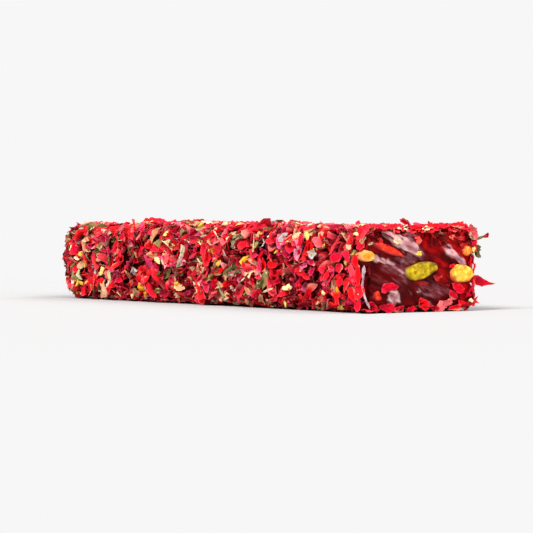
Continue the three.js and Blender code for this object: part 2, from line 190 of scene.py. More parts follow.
def closed_rings(rings: int, around: int, inside_out: bool = False) -> list[Array]:
    """The faces of a closed body whose points are rings in turn, then the pole before them and the one after.

    Args:
        rings: how many rings there are.
        around: how many points a ring has.
        inside_out: True turns every face over.

    Returns:
        The quads between the rings and the triangles at both poles.
    """
    index = np.arange(rings * around).reshape(rings, around)
    ahead = np.roll(index, -1, axis=1)
    walls = np.stack([index[:-1], ahead[:-1], ahead[1:], index[1:]], -1).reshape(-1, 4)
    first = np.stack([np.full(around, index.size), ahead[0], index[0]], -1)
    last = np.stack([np.full(around, index.size + 1), index[-1], ahead[-1]], -1)
    faces = [walls, first, last]
    return [np.roll(f[:, ::-1], 1, axis=1) for f in faces] if inside_out else faces


def put_values(piece: bpy.types.Object, name: str, values: Array) -> None:
    """Stores one number for each point of a piece as a named attribute."""
    layer = piece.data.attributes.new(name, "FLOAT", "POINT")
    layer.data.foreach_set("value", values.astype(np.float32))


def put_uv(piece: bpy.types.Object, uv: Array) -> None:
    """Stores a UV map.

    Args:
        piece: the piece that takes it.
        uv: (n, 2) one place for each of its points.
    """
    corners = np.empty(len(piece.data.loops), np.int32)
    piece.data.loops.foreach_get("vertex_index", corners)
    layer = piece.data.uv_layers.new(name="UVMap")
    layer.data.foreach_set("uv", uv[corners].astype(np.float32).ravel())


def settle(piece: bpy.types.Object, material: bpy.types.Material, slot: str, *nodes: str) -> None:
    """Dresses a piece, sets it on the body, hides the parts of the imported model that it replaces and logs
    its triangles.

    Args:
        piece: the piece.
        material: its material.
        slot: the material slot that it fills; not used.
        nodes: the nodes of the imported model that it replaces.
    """
    piece.data.materials.append(material)
    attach(piece, ROOT)
    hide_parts(*nodes)
    count = sum(len(p.vertices) - 2 for p in piece.data.polygons)
    LOG.info("%s: %d triangles", piece.name, count)


def eased(share: Array) -> Array:
    """A share from 0 to 1 made smooth at both ends: three times its square less twice its cube."""
    return share * share * (3 - 2 * share)


def value_noise(points: Array, cell: float, seed: int) -> Array:
    """Smooth value noise from -1 to 1.

    Each corner of a cubic lattice has a value from a sine hash of its indices, and a point takes the smoothly
    weighted mean of the eight corners round it.

    Args:
        points: (n, 3) places.
        cell: the lattice's spacing in the same unit.
        seed: a number that shifts the hash.

    Returns:
        (n,) noise values.
    """
    grid = points / cell
    low = np.floor(grid)
    share = eased(grid - low)
    total = np.zeros(len(points))
    for corner in np.ndindex(2, 2, 2):
        at = low + np.array(corner)
        key = np.sin(at @ HASH_WAVES + seed * HASH_SEED_STEP) * HASH_HEIGHT
        weight = np.prod(np.where(np.array(corner) == 1, share, 1 - share), axis=1)
        total += weight * (key - np.floor(key))
    return 2 * total - 1


@dataclass(frozen=True)
class Noise:
    """A layer of value noise, with its height, its cell in millimetres and its seed."""

    height: float
    cell: float
    seed: int

    def at(self, points: Array, seed: int = 0) -> Array:
        """The layer's values at points; the seed is added to its own."""
        return self.height * value_noise(points, self.cell, self.seed + seed)


def on_slope(y: Array, z: Array, slope: float) -> tuple[Array, Array]:
    """Distances along and across a slope: y and z turned back by the slope's angle.

    Args:
        y: distance from the middle along Y.
        z: distance from it along Z.
        slope: degrees from +Y towards +Z.

    Returns:
        The distances along the slope and across it.
    """
    turn = math.radians(slope)
    return y * math.cos(turn) + z * math.sin(turn), z * math.cos(turn) - y * math.sin(turn)


def smeared(points: Array) -> Array:
    """Places turned to the knife's way and shortened along it, so that noise read there is streaky."""
    along, across = on_slope(points[:, 1], points[:, 2], KNIFE_SLOPE)
    return np.stack([points[:, 0], KNIFE_STRETCH * along, across], axis=-1)


def even_points(count: int, shift: int) -> Array:
    """Evenly spread points of the unit square: steps of the plastic number, less their whole parts."""
    return np.mod(0.5 + (np.arange(count)[:, None] + shift) * PLASTIC_STEPS, 1.0)


def unit(vectors: Array) -> Array:
    """Vectors divided by their length."""
    return vectors / np.linalg.norm(vectors, axis=-1, keepdims=True)


# ---------------------------------------------------------------------------------------------------------
# The bar's form
# ---------------------------------------------------------------------------------------------------------


@dataclass(frozen=True)
class Ridge:
    """A low ridge or hollow of the slice: a bell of a height, long along its slope and narrow across it."""

    y: float
    z: float
    long: float
    wide: float
    high: float
    slope: float

    def height(self, y: Array, z: Array) -> Array:
        """High times exp of minus the squares of the scaled distances along and across the slope."""
        along, across = on_slope(y - self.y, z - self.z, self.slope)
        return self.high * np.exp(-((along / self.long) ** 2) - (across / self.wide) ** 2)


@dataclass(frozen=True)
class BarForm:
    """The bar's mean skin and its sliced face, with the same sizes as its solids have."""

    length: float = 196.0
    width: float = 47.5
    height: float = 27.8
    edge_radius: float = 4.6
    end_round_length: float = 21.0
    end_round_depth: float = 10.4
    end_soften: float = 2.0  # share by which the edge radius grows there
    thinned_radius: float = 0.5  # how much smaller the edge radius gets for each millimetre inside the skin
    sway: tuple[float, float, float] = (0.45, 0.034, 0.8)  # size, radians a millimetre and phase, sideways
    swell: tuple[float, float, float] = (0.4, 0.051, 2.1)  # the same for the upper side's slow wave
    ripple: tuple[float, float, float] = (0.25, 0.117, 0.09)  # and its short one, which also runs across
    ridges: tuple[Ridge, ...] = (
        Ridge(-6.6, 22.4, 9.0, 2.6, 1.5, -28),
        Ridge(13.9, 18.9, 6.5, 2.4, 1.3, -30),
        Ridge(-11.8, 7.7, 4.2, 5.0, 1.2, 70),
        Ridge(-19.2, 11.5, 7.5, 2.6, -1.7, 88),
        Ridge(7.9, 8.6, 8.0, 3.0, -1.1, 6),
        Ridge(8.4, 22.7, 7.0, 2.6, -1.0, -8),
    )

    @property
    def coated_end(self) -> float:
        """The place along X of the rounded, coated end."""
        return -self.length / 2

    @property
    def cut_end(self) -> float:
        """The place along X of the slice."""
        return self.length / 2

    @property
    def middle_height(self) -> float:
        """Half the bar's height."""
        return self.height / 2

    def drawn_in(self, x: Array) -> Array:
        """How far the sides are drawn in along X: a quarter ellipse at the coated end, 0 past it."""
        into = np.minimum(1, (x - self.coated_end) / self.end_round_length)
        return self.end_round_depth * (1 - np.sqrt(1 - (1 - into) ** 2))

    def rounded(self, place: Array) -> Array:
        """How much a place belongs to the rounded end: the square root of what is left of the rounding."""
        return np.clip(1 - (place - self.coated_end) / self.end_round_length, 0, 1) ** 0.5

    def round_section(self, share: Array, half_width: Array, half_height: Array, radius: Array) -> Array:
        """A point on a rounded rectangle, a share of the way round it from the underside's middle towards +Y.

        The outline is nine legs, straight and quarter-circle in turn; the point's distance round it picks the
        leg, and a leg's own distance gives how far along the side and how far out the point is.

        Args:
            share: share of the way round.
            half_width: half the rectangle's width.
            half_height: half its height.
            radius: the corners' radius.

        Returns:
            (n, 2) places as y and z about the rectangle's middle.
        """
        arc = math.pi / 2 * radius
        flat_y, flat_z = 2 * (half_width - radius), 2 * (half_height - radius)
        legs = np.stack([flat_y / 2, arc, flat_z, arc, flat_y, arc, flat_z, arc, flat_y / 2], axis=-1)
        ends = np.cumsum(legs, axis=-1)
        distance = np.mod(share, 1.0) * ends[..., -1]
        leg = np.minimum((distance[..., None] > ends).sum(axis=-1), 8)
        starts = np.concatenate([np.zeros_like(ends[..., :1]), ends[..., :-1]], axis=-1)
        left = distance - np.take_along_axis(starts, leg[..., None], axis=-1)[..., 0]
        quarter = leg // 2
        upright = quarter % 2 == 1
        across = np.where(upright, half_width, half_height)
        reach = np.where(upright, half_height, half_width) - radius
        angle = left / radius
        bent = leg % 2 == 1
        along = np.where(bent, reach + radius * np.sin(angle), np.where(leg == 0, 0, -reach) + left)
        out = np.where(bent, across - radius + radius * np.cos(angle), across)
        turn = quarter * math.pi / 2
        y = along * np.cos(turn) + out * np.sin(turn)
        return np.stack([y, along * np.sin(turn) - out * np.cos(turn)], -1)

    def skin(self, place: Array, share: Array, depth: float | Array = 0.0) -> Array:
        """The mean skin, or a surface a depth inside it.

        The section is the rounded rectangle, drawn in along a quarter ellipse towards the coated end, then
        swayed and swollen by slow waves, as a hand-pressed bar is. A place beyond the coated end counts as a
        distance in from the rim of the end's flat.

        Args:
            place: place along X.
            share: share of the way round.
            depth: how far inside the skin the surface lies.

        Returns:
            (n, 3) places in the bar's own frame.
        """
        place, share = np.broadcast_arrays(np.asarray(place, float), np.asarray(share, float))
        x = np.maximum(place, self.coated_end)
        drawn = self.drawn_in(x) + x - place
        half_width, half_height = self.width / 2 - drawn - depth, self.middle_height - drawn - depth
        radius = self.edge_radius * (1 + self.end_soften * drawn / self.end_round_depth)
        most, least = 0.8 * half_height, 0.3  # so that the corners always fit into the section
        radius = np.maximum(np.minimum(radius - self.thinned_radius * depth, most), least)
        section = self.round_section(share, half_width, half_height, radius)
        y, z = section[..., 0], section[..., 1]
        upper = (z + self.middle_height) / self.height
        sway = self.sway[0] * np.sin(x * self.sway[1] + self.sway[2])
        swell = self.swell[0] * np.sin(x * self.swell[1] + self.swell[2])
        ripple = self.ripple[0] * np.sin(x * self.ripple[1] + y * self.ripple[2])
        return np.stack([x, y + sway, z + self.middle_height + upper * (swell + ripple)], axis=-1)

    def normal(self, place: Array, share: Array) -> Array:
        """The skin's outward normals: the cross product of its small steps round and along the bar.

        Args:
            place: place along X.
            share: share of the way round.

        Returns:
            (n, 3) normals.
        """
        step, turn = 0.2, 0.002
        along = self.skin(place + step, share) - self.skin(place - step, share)
        around = self.skin(place, share + turn) - self.skin(place, share - turn)
        return unit(np.cross(around, along))

    def places_along(self, share: Array) -> Array:
        """Places along X that are evenly spread over the skin's own length, the rounded end included.

        The length is summed over short steps of X, each the hypotenuse of the step and of what is drawn in.

        Args:
            share: shares from 0 to 1 of the skin's length.

        Returns:
            The place along X for each share.
        """
        samples = 2000
        x = np.linspace(self.coated_end, self.cut_end, samples)
        steps = np.hypot(np.diff(x), np.diff(self.drawn_in(x)))
        length = np.concatenate([[0], np.cumsum(steps)])
        return np.interp(share * length[-1], length, x)

    def slice_height(self, y: Array, z: Array) -> Array:
        """How far the slice's ridges and hollows stand out of its mean plane."""
        return sum(ridge.height(y, z) for ridge in self.ridges)


# ---------------------------------------------------------------------------------------------------------
# Finishes
# ---------------------------------------------------------------------------------------------------------


@dataclass(frozen=True)
class JellyFinish:
    """Boiled starch jelly, coloured with pomegranate: wet gloss on the slice over a deep, cloudy maroon."""

    dark: str = "#380204"
    maroon: str = "#540406"
    glow: tuple[str, str, str] = ("#6a0406", "#900609", "#b4090d")  # where the jelly is clear
    haze: tuple[str, str, str] = ("#480f12", "#6e373c", "#98636c")  # where it is cloudy
    starch_and_highlight: tuple[str, str, str] = ("#905458", "#bc8a8e", "#d8b0aa")  # where dry starch lies on it, and painted highlights where its ridges face the lamps
    lows: tuple[float, float, float] = (0.55, 0.85, 0.8)  # what thin grain leaves of haze, glow and the starch veil with its highlights
    starch_grain: float = 0.9  # mm, clouds of starch in the jelly
    roughness: float = 0.22
    gloss: float = 0.05

    def material(self) -> bpy.types.Material:
        """Builds the material: maroon that goes hazy, clears to red, and is veiled with starch and painted
        highlights on its ridges.

        Three noises are read along the knife's way. The coarse one mixes the dark and the maroon, the fine
        one breaks up the haze, glow and starch veil attributes, and the middle one picks a shade of each of
        them.

        Returns:
            The material.
        """
        material, tree = new_material("pomegranate_jelly")
        place = add_node(tree, "ShaderNodeTexCoord").outputs["Object"]
        smear = {"Rotation": (math.radians(KNIFE_SLOPE), 0, 0), "Scale": (1, 1 / KNIFE_STRETCH, 1)}
        links = {"Vector": place}
        place = add_node(tree, "ShaderNodeMapping", smear, links, vector_type="TEXTURE").outputs[0]
        cloud, grain, mottle = (
            add_node(
                tree,
                "ShaderNodeTexNoise",
                {"Scale": 1 / (self.starch_grain * size * MM), "Detail": detail, "Roughness": rough},
                {"Vector": place},
            ).outputs["Fac"]
            for size, detail, rough in ((3.5, 3.0, 0.6), (1.0, 3.0, 0.5), (1.8, 4.0, 0.6))
        )
        stops = ((0.4, self.dark), (0.62, self.maroon))
        colour = add_node(tree, "ShaderNodeValToRGB", links={"Fac": cloud}, stops=stops).outputs["Color"]
        # The starch veil also carries painted highlights on the slice's ridges.
        layers = zip(("haze", "glow", "starch_and_highlight"), (self.haze, self.glow, self.starch_and_highlight), self.lows)
        for name, shades, low in layers:
            share = add_node(tree, "ShaderNodeAttribute", attribute_name=name).outputs["Fac"]
            spread = {"From Min": 0.36, "From Max": 0.6, "To Min": low}
            broken = add_node(tree, "ShaderNodeMapRange", spread, {"Value": grain}).outputs[0]
            links = {0: share, 1: broken}
            factor = add_node(tree, "ShaderNodeMath", links=links, operation="MULTIPLY").outputs[0]
            stops = tuple(zip((0.36, 0.5, 0.64), shades))
            shade = add_node(tree, "ShaderNodeValToRGB", links={"Fac": mottle}, stops=stops).outputs["Color"]
            links = {0: factor, 6: colour, 7: shade}
            colour = add_node(tree, "ShaderNodeMix", links=links, data_type="RGBA").outputs[2]
        wrinkle = {"Strength": 0.4, "Distance": 0.25 * MM}
        bump = add_node(tree, "ShaderNodeBump", wrinkle, {"Height": grain}).outputs["Normal"]
        put_surface(tree, colour, bump, {
            "Roughness": self.roughness,
            "IOR": 1.45,
            "Specular IOR Level": self.gloss,
            "Subsurface Weight": 0.15,
            "Subsurface Radius": (1.0, 0.25, 0.2),
            "Subsurface Scale": 1.0 * MM,
        })
        return material


@dataclass(frozen=True)
class FlakeFinish:
    """A dried, torn flake: one colour by its tint, paler at its rim as a painted highlight, darker low in the
    coat as painted shade, with fine veins and wrinkles.
    """

    name: str
    stops: Stops  # tint and colour
    # Colour of the rim, a painted highlight.
    rim: str
    rim_share: float = 0.24
    rim_reach: tuple[float, float] = (0.3, 0.62)  # from the flake's middle, where the rim starts and is full
    base: str = "#f2b898"  # where some of them were joined to the flower
    base_share: float = 0.0
    base_reach: tuple[float, float] = (0.42, 0.05)  # places along the flake where the base starts and is full
    base_chance: tuple[float, float] = (0.65, 0.8)  # scrambled tints at which it begins to show and is full
    scramble: float = 7.3  # a tint times this, less its whole part, is the scrambled tint
    painted_deep_shade: str = "#4a0408"  # painted shade, low in the coat where the flakes shade each other
    painted_deep_shade_share: float = 0.85
    blotches: tuple[float, float] = (0.68, 1.14)  # brightness of the darkest and the lightest
    roughness: float = 0.6
    gloss: float = 0.04
    light_through: float = 0.0
    vein_scale: float = 5 / 6  # which draws two or three veins across a flake
    wrinkle_size: float = 1.1  # mm
    wrinkle_height: float = 0.12  # mm

    def base_colour(
        self, tree: bpy.types.NodeTree, tint: bpy.types.NodeSocket, uv: bpy.types.NodeSocket,
        colour: bpy.types.NodeSocket,
    ) -> bpy.types.NodeSocket:
        """The pale base that some flakes have at one end: those whose scrambled tint comes out high.

        Args:
            tree: the material's node tree.
            tint: the flakes' tint.
            uv: their UV map.
            colour: the colour that they have elsewhere.

        Returns:
            The colour with the bases.
        """
        times = {1: self.scramble}
        chance = add_node(tree, "ShaderNodeMath", times, {0: tint}, operation="MULTIPLY").outputs[0]
        chance = add_node(tree, "ShaderNodeMath", links={0: chance}, operation="FRACT").outputs[0]
        start, full = self.base_chance
        spread = {"From Min": start, "From Max": full, "To Max": self.base_share}
        based = add_node(tree, "ShaderNodeMapRange", spread, {"Value": chance}).outputs[0]
        along = add_node(tree, "ShaderNodeSeparateXYZ", links={0: uv}).outputs["Y"]
        start, full = self.base_reach
        spread = {"From Min": start, "From Max": full}
        at_end = add_node(
            tree, "ShaderNodeMapRange", spread, {"Value": along}, interpolation_type="SMOOTHSTEP"
        ).outputs[0]
        links = {0: based, 1: at_end}
        factor = add_node(tree, "ShaderNodeMath", links=links, operation="MULTIPLY").outputs[0]
        links = {0: factor, 6: colour}
        return add_node(tree, "ShaderNodeMix", {7: linear(self.base)}, links, data_type="RGBA").outputs[2]

    def material(self) -> bpy.types.Material:
        """Builds the material from the tint and depth attributes and the flake's own UV map.

        The tint picks the colour. It goes paler from the flake's middle to its rim, a painted highlight, and
        darker with depth, a painted shade, and lighter and darker in fine blotches, whose sum with a wave for
        the veins also raises the surface.

        Returns:
            The material.
        """
        material, tree = new_material(self.name)
        tint = add_node(tree, "ShaderNodeAttribute", attribute_name="tint").outputs["Fac"]
        colour = add_node(tree, "ShaderNodeValToRGB", links={"Fac": tint}, stops=self.stops).outputs["Color"]
        uv = add_node(tree, "ShaderNodeUVMap", uv_map="UVMap").outputs["UV"]
        if self.base_share:
            colour = self.base_colour(tree, tint, uv, colour)
        # Painted highlight: the colour goes paler towards the flake's rim.
        middle = {1: (0.5, 0.5, 0.0)}
        away = add_node(tree, "ShaderNodeVectorMath", middle, {0: uv}, operation="DISTANCE").outputs["Value"]
        start, full = self.rim_reach
        spread = {"From Min": start, "From Max": full, "To Min": 0.0, "To Max": self.rim_share}
        links = {"Value": away}
        rim = add_node(
            tree, "ShaderNodeMapRange", spread, links, interpolation_type="SMOOTHSTEP"
        ).outputs[0]
        place = add_node(tree, "ShaderNodeTexCoord").outputs["Object"]
        fine = {"Scale": 1 / (self.wrinkle_size * MM), "Detail": 3.0, "Roughness": 0.6}
        mottle = add_node(tree, "ShaderNodeTexNoise", fine, {"Vector": place}).outputs["Fac"]
        links = {0: rim, 6: colour}
        rim_highlighted = add_node(tree, "ShaderNodeMix", {7: linear(self.rim)}, links, data_type="RGBA").outputs[2]
        # Painted shade: flakes low in the coat are darkened towards the deep colour.
        depth = add_node(tree, "ShaderNodeAttribute", attribute_name="depth").outputs["Fac"]
        share = {1: self.painted_deep_shade_share}
        sunk = add_node(tree, "ShaderNodeMath", share, {0: depth}, operation="MULTIPLY").outputs[0]
        links = {0: sunk, 6: rim_highlighted}
        shaded_low = add_node(tree, "ShaderNodeMix", {7: linear(self.painted_deep_shade)}, links, data_type="RGBA").outputs[2]
        dark, light = self.blotches
        spread = {"From Min": 0.3, "From Max": 0.7, "To Min": dark, "To Max": light}
        shade = add_node(tree, "ShaderNodeMapRange", spread, {"Value": mottle}).outputs[0]
        links = {0: shaded_low, "Scale": shade}
        final = add_node(tree, "ShaderNodeVectorMath", links=links, operation="SCALE").outputs["Vector"]
        waves = {"Scale": self.vein_scale, "Distortion": 2.5, "Detail": 1.0}
        veins = add_node(tree, "ShaderNodeTexWave", waves, {"Vector": uv}, bands_direction="Y").outputs["Fac"]
        height = add_node(tree, "ShaderNodeMath", links={0: veins, 1: mottle}, operation="ADD").outputs[0]
        wrinkle = {"Strength": 0.5, "Distance": self.wrinkle_height * MM}
        bump = add_node(tree, "ShaderNodeBump", wrinkle, {"Height": height}).outputs["Normal"]
        put_surface(tree, final, bump, {
            "Roughness": self.roughness,
            "IOR": 1.45,
            "Specular IOR Level": self.gloss,
            "Subsurface Weight": self.light_through,
            "Subsurface Radius": (1.0, 0.35, 0.35),
            "Subsurface Scale": 0.4 * MM,
        })
        return material


@dataclass(frozen=True)
class NutFinish:
    """A sliced kernel or candied fruit: coarse-grained, waxy flesh, with its skin's colour at its rim."""

    name: str
    flesh: Stops
    skin: str
    roughness: float = 0.42
    gloss: float = 0.2
    grain_size: float = 1.3  # mm
    grain_height: float = 0.2  # mm

    def material(self) -> bpy.types.Material:
        """Builds the material: noise picks the flesh's shade, and the rim attribute mixes in the skin.

        Returns:
            The material.
        """
        material, tree = new_material(self.name)
        place = add_node(tree, "ShaderNodeTexCoord").outputs["Object"]
        fine = {"Scale": 1 / (self.grain_size * MM), "Detail": 4.0, "Roughness": 0.65}
        grain = add_node(tree, "ShaderNodeTexNoise", fine, {"Vector": place}).outputs["Fac"]
        flesh = add_node(tree, "ShaderNodeValToRGB", links={"Fac": grain}, stops=self.flesh).outputs["Color"]
        rim = add_node(tree, "ShaderNodeAttribute", attribute_name="rim").outputs["Fac"]
        links = {0: rim, 6: flesh}
        colour = add_node(tree, "ShaderNodeMix", {7: linear(self.skin)}, links, data_type="RGBA").outputs[2]
        rough = {"Strength": 0.5, "Distance": self.grain_height * MM}
        bump = add_node(tree, "ShaderNodeBump", rough, {"Height": grain}).outputs["Normal"]
        put_surface(tree, colour, bump, {
            "Roughness": self.roughness,
            "IOR": 1.47,
            "Specular IOR Level": self.gloss,
            "Subsurface Weight": 0.12,
            "Subsurface Radius": (1.0, 0.7, 0.2),
            "Subsurface Scale": 0.8 * MM,
        })
        return material


@dataclass(frozen=True)
class PaperFinish:
    """White paper sweep, matt near the bar and fading into the pale backdrop away from it."""

    colour: str = "#b3b2b2"
    backdrop: str = "#f7f7f7"
    fade: tuple[float, float] = (0.16, 0.5)  # metres from the bar's middle

    def material(self) -> bpy.types.Material:
        """Builds the material: matt paper that turns into the backdrop's plain brightness with distance.

        Returns:
            The material.
        """
        material, tree = new_material("white_paper")
        place = add_node(tree, "ShaderNodeTexCoord").outputs["Object"]
        away = add_node(tree, "ShaderNodeVectorMath", links={0: place}, operation="LENGTH").outputs["Value"]
        spread = {"From Min": self.fade[0], "From Max": self.fade[1]}
        far = add_node(
            tree, "ShaderNodeMapRange", spread, {"Value": away}, interpolation_type="SMOOTHSTEP"
        ).outputs[0]
        matt = add_node(tree, "ShaderNodeBsdfDiffuse", {"Color": linear(self.colour)})
        plain = add_node(tree, "ShaderNodeEmission", {"Color": linear(self.backdrop), "Strength": 1.0})
        both = add_node(tree, "ShaderNodeMixShader", links={0: far, 1: matt.outputs[0], 2: plain.outputs[0]})
        add_node(tree, "ShaderNodeOutputMaterial", links={"Surface": both.outputs[0]})
        return material


# ---------------------------------------------------------------------------------------------------------
# Flakes
# ---------------------------------------------------------------------------------------------------------


@dataclass(frozen=True)
class FlakeSheet:
    """One closed thin flake as a grid: a top and an underside that share their rim."""

    columns: int  # points along the flake
    rows: int  # and across it

    def template(self) -> tuple[Array, Array, Array, Array]:
        """The flake's points and faces before it is given a size.

        The top is a grid of u and v from -1 to 1. The underside repeats the inner points only, so that both
        meet in one rim.

        Returns:
            (n, 2) u and v; (n,) side, which is 1 on top, -1 underneath and 0 on the rim; (m, 4) faces; and an
            (n, n) table that is True for the two ends of a rim edge.
        """
        u, v = np.meshgrid(np.linspace(-1, 1, self.columns), np.linspace(-1, 1, self.rows), indexing="ij")
        inner = np.zeros((self.columns, self.rows), bool)
        inner[1:-1, 1:-1] = True
        top = np.arange(self.columns * self.rows).reshape(self.columns, self.rows)
        under = top.copy()
        under[inner] = top.size + np.arange(inner.sum())
        uv = np.concatenate([np.stack([u, v], -1).reshape(-1, 2), np.stack([u[inner], v[inner]], -1)])
        side = np.concatenate([inner.ravel().astype(float), -np.ones(inner.sum())])
        faces = []
        for sheet, order in ((top, (0, 1, 2, 3)), (under, (3, 2, 1, 0))):
            corners = np.stack([sheet[:-1, :-1], sheet[1:, :-1], sheet[1:, 1:], sheet[:-1, 1:]], -1)
            faces.append(corners.reshape(-1, 4)[:, order])
        rim = np.concatenate([top[:-1, 0], top[-1, :-1], top[:0:-1, -1], top[0, :0:-1]])
        table = np.zeros((len(uv), len(uv)), bool)
        table[rim, np.roll(rim, -1)] = table[np.roll(rim, -1), rim] = True
        return uv, side, np.concatenate(faces), table


@dataclass
class FlakeBatch:
    """Places, directions and sizes of many flakes of one kind, in millimetres."""

    ground: Array  # the point of the skin, or of the slice, that the flake belongs to
    up: Array  # outward normal there
    along: Array  # the flake's own axes
    across: Array
    normal: Array
    length: Array
    width: Array
    curl: Array  # half the angle, in radians, that the flake is rolled through along its length
    cup: Array  # rise of the sides over the middle, as a share of the half width
    tint: Array
    tip: Array  # how high its highest point stands over the ground

    @staticmethod
    def joined(batches: list["FlakeBatch"]) -> "FlakeBatch":
        """One batch that holds all of several."""
        columns = zip(*(vars(batch).values() for batch in batches))
        return FlakeBatch(*(np.concatenate(column) for column in columns))


@dataclass(frozen=True)
class FlakeShape:
    """How a kind of flake is cut: its grid, thickness, torn rim and outline."""

    sheet: FlakeSheet = FlakeSheet(5, 4)
    thickness: float = 0.16
    thick_share: float = 0.0  # more thickness for chunky kinds, as a share of the width
    tear: float = 0.9  # 0 leaves the outline round, 1 tears it to straight edges
    torn_edges: int = 5
    torn_at: tuple[float, float] = (0.68, 1.05)  # share of the radius that a torn edge lies at
    torn_stray: float = 0.35  # share of their even spacing that torn edges stray round the outline
    torn_reach: float = 1.25  # share of the radius that a corner between torn edges reaches at most
    notch: float = 0.05  # jitter of single points of the outline
    crumple: float = 0.07  # jitter of single points' height, as a share of the width
    twist: float = 0.3  # rise of opposite corners, as a share of the half width
    lopsided: float = 0.35  # how much wider one end may be
    pointed: float = 0.0  # how much the near end narrows to a point
    squareness: float = 0.42  # 1 makes the untorn outline round, 0 leaves it square
    shade_from: float = 0.35  # height over the ground under which a flake starts to take the painted shade
    shade_depth: float = 2.6  # and how much lower it takes it fully
    floor_gap: float = 0.02  # how far over the table a flake stays that would reach under it

    def build(self, name: str, batch: FlakeBatch, rng: np.random.Generator) -> bpy.types.Object:
        """One mesh of all the flakes of a batch.

        A grid point (u, v) is drawn in to a round outline by the square root of one less a share of the other
        coordinate squared, scaled to the flake's half length and width, widened towards one end, cut by a few
        straight torn edges at random distances, and jittered on the rim. A torn edge lies at its distance
        over the cosine of the angle from its own direction. The length is rolled onto an arc of the curl's
        angle, and the cup times v squared, a twist times u v and a little crumpling are added to its height;
        the top and underside lie half the thickness away. Then the whole flake is shifted until its highest
        point is at its tip's height.

        Args:
            name: the piece's name.
            batch: the flakes.
            rng: the source of the torn rims.

        Returns:
            The piece, with tint and depth attributes, a UV map and sharp rims.
        """
        uv, side, faces, rim_table = self.sheet.template()
        count, corners = len(batch.ground), len(uv)
        u, v = uv[:, 0], uv[:, 1]
        stray = rng.uniform(-self.torn_stray, self.torn_stray, (self.torn_edges, count))
        edge = (np.arange(self.torn_edges)[:, None] + stray) / self.torn_edges
        facing = 2 * math.pi * (edge + rng.uniform(size=count))[..., None] - np.arctan2(v, u)
        far = rng.uniform(*self.torn_at, (self.torn_edges, count, 1))
        least_cosine, least_curl = 0.2, 1e-3  # so that nothing is divided by zero
        polygon = np.minimum((far / np.maximum(np.cos(facing), least_cosine)).min(axis=0), self.torn_reach)
        jitter = rng.normal(size=(count, corners)) * (side == 0)
        ring = np.maximum(np.abs(u), np.abs(v)) ** 2
        worn = 1 + self.tear * (polygon - 1) * ring + self.notch * jitter
        slide = self.notch / 2 * rng.normal(size=(count, corners))
        half_length, half_width = batch.length[:, None] / 2, batch.width[:, None] / 2
        lean = self.lopsided * rng.uniform(-1, 1, (count, 1))
        a = u * np.sqrt(1 - self.squareness * v**2) * worn + slide
        narrowing = 1 - self.pointed * np.clip(-u, 0, 1) ** 1.5
        b = v * np.sqrt(1 - self.squareness * u**2) * worn * (1 + lean * u) * narrowing
        twist = self.twist * rng.normal(size=(count, 1))
        crumple = self.crumple * 2 * rng.normal(size=(count, corners))
        underside = np.flatnonzero(side < 0)
        inner = np.flatnonzero(side > 0)
        for values in (a, b, crumple):
            values[:, underside] = values[:, inner]
        curl = np.where(np.abs(batch.curl) < least_curl, least_curl, batch.curl)[:, None]
        thick = self.thickness + self.thick_share * batch.width[:, None]
        uneven = (twist * a * b + crumple) * half_width
        out = batch.cup[:, None] * half_width * b**2 + uneven + side * thick / 2
        turn = curl * a
        run = half_length * np.sin(turn) / curl - out * np.sin(turn)
        rise = half_length * (1 - np.cos(turn)) / curl + out * np.cos(turn)
        local = np.stack([run, b * half_width, rise], axis=-1)
        points = local @ np.stack([batch.along, batch.across, batch.normal], axis=1)
        height = (points * batch.up[:, None, :]).sum(-1)
        shift = batch.tip - height.max(axis=1)
        points += (batch.ground + shift[:, None] * batch.up)[:, None, :]
        height += shift[:, None]
        below = np.minimum(points[:, :, 2].min(axis=1), 0)
        points[:, :, 2] -= below[:, None] - self.floor_gap * (below[:, None] < 0)
        all_faces = (faces[None] + corners * np.arange(count)[:, None, None]).reshape(-1, 4)
        piece = put_mesh(name, in_frame(points.reshape(-1, 3)), [all_faces])
        put_uv(piece, np.tile(uv * 0.5 + 0.5, (count, 1)))
        put_values(piece, "tint", np.repeat(batch.tint, corners))
        # Depth darkens the low flakes in their material, as painted shade.
        put_values(piece, "depth", np.clip((self.shade_from - height) / self.shade_depth, 0, 1).ravel())
        ends = np.empty(2 * len(piece.data.edges), np.int32)
        piece.data.edges.foreach_get("vertices", ends)
        ends = ends.reshape(-1, 2) % corners
        sharp = piece.data.attributes.new("sharp_edge", "BOOLEAN", "EDGE")
        sharp.data.foreach_set("value", rim_table[ends[:, 0], ends[:, 1]])
        return piece


def tilted(along: Array, normal: Array, pitch: Array, roll: Array) -> tuple[Array, Array, Array]:
    """A flake's axes after its far end is pitched up and its side rolled up.

    Args:
        along: (n, 3) directions in the ground plane.
        normal: (n, 3) ground normals.
        pitch: (n,) angles in radians that the length is raised by.
        roll: (n,) angles in radians that the width is raised by.

    Returns:
        The flakes' along, across and normal directions.
    """
    pitch, roll = pitch[:, None], roll[:, None]
    across = np.cross(normal, along)
    raised = np.cos(pitch) * along + np.sin(pitch) * normal
    upright = np.cos(pitch) * normal - np.sin(pitch) * along
    rolled = np.cos(roll) * across + np.sin(roll) * upright
    return raised, rolled, np.cross(raised, rolled)


class Face(Enum):
    """The parts of the bar that flakes are scattered on."""

    SIDES = "sides"
    COATED_END = "coated_end"


@dataclass(frozen=True)
class FlakeKind:
    """A kind of flake in the coat: how many there are, and from what to what their sizes and lie go."""

    name: str
    count: int
    length: tuple[float, float]  # mm
    aspect: tuple[float, float]  # width as a share of the length; rolled strips are wider than long
    tilt: tuple[float, float]  # degrees that one end is pitched up
    tip: tuple[float, float]  # mm that the highest point stands over the mean skin
    curl: tuple[float, float]
    cup: tuple[float, float]  # both as a FlakeBatch has them
    shape: FlakeShape
    finish: FlakeFinish
    seed: int
    drift: float = 1.0  # over 1 gathers them towards the coated end
    cluster: float = 0.0  # how strongly they lie in groups
    group: int = 61  # kinds with the same number share their groups


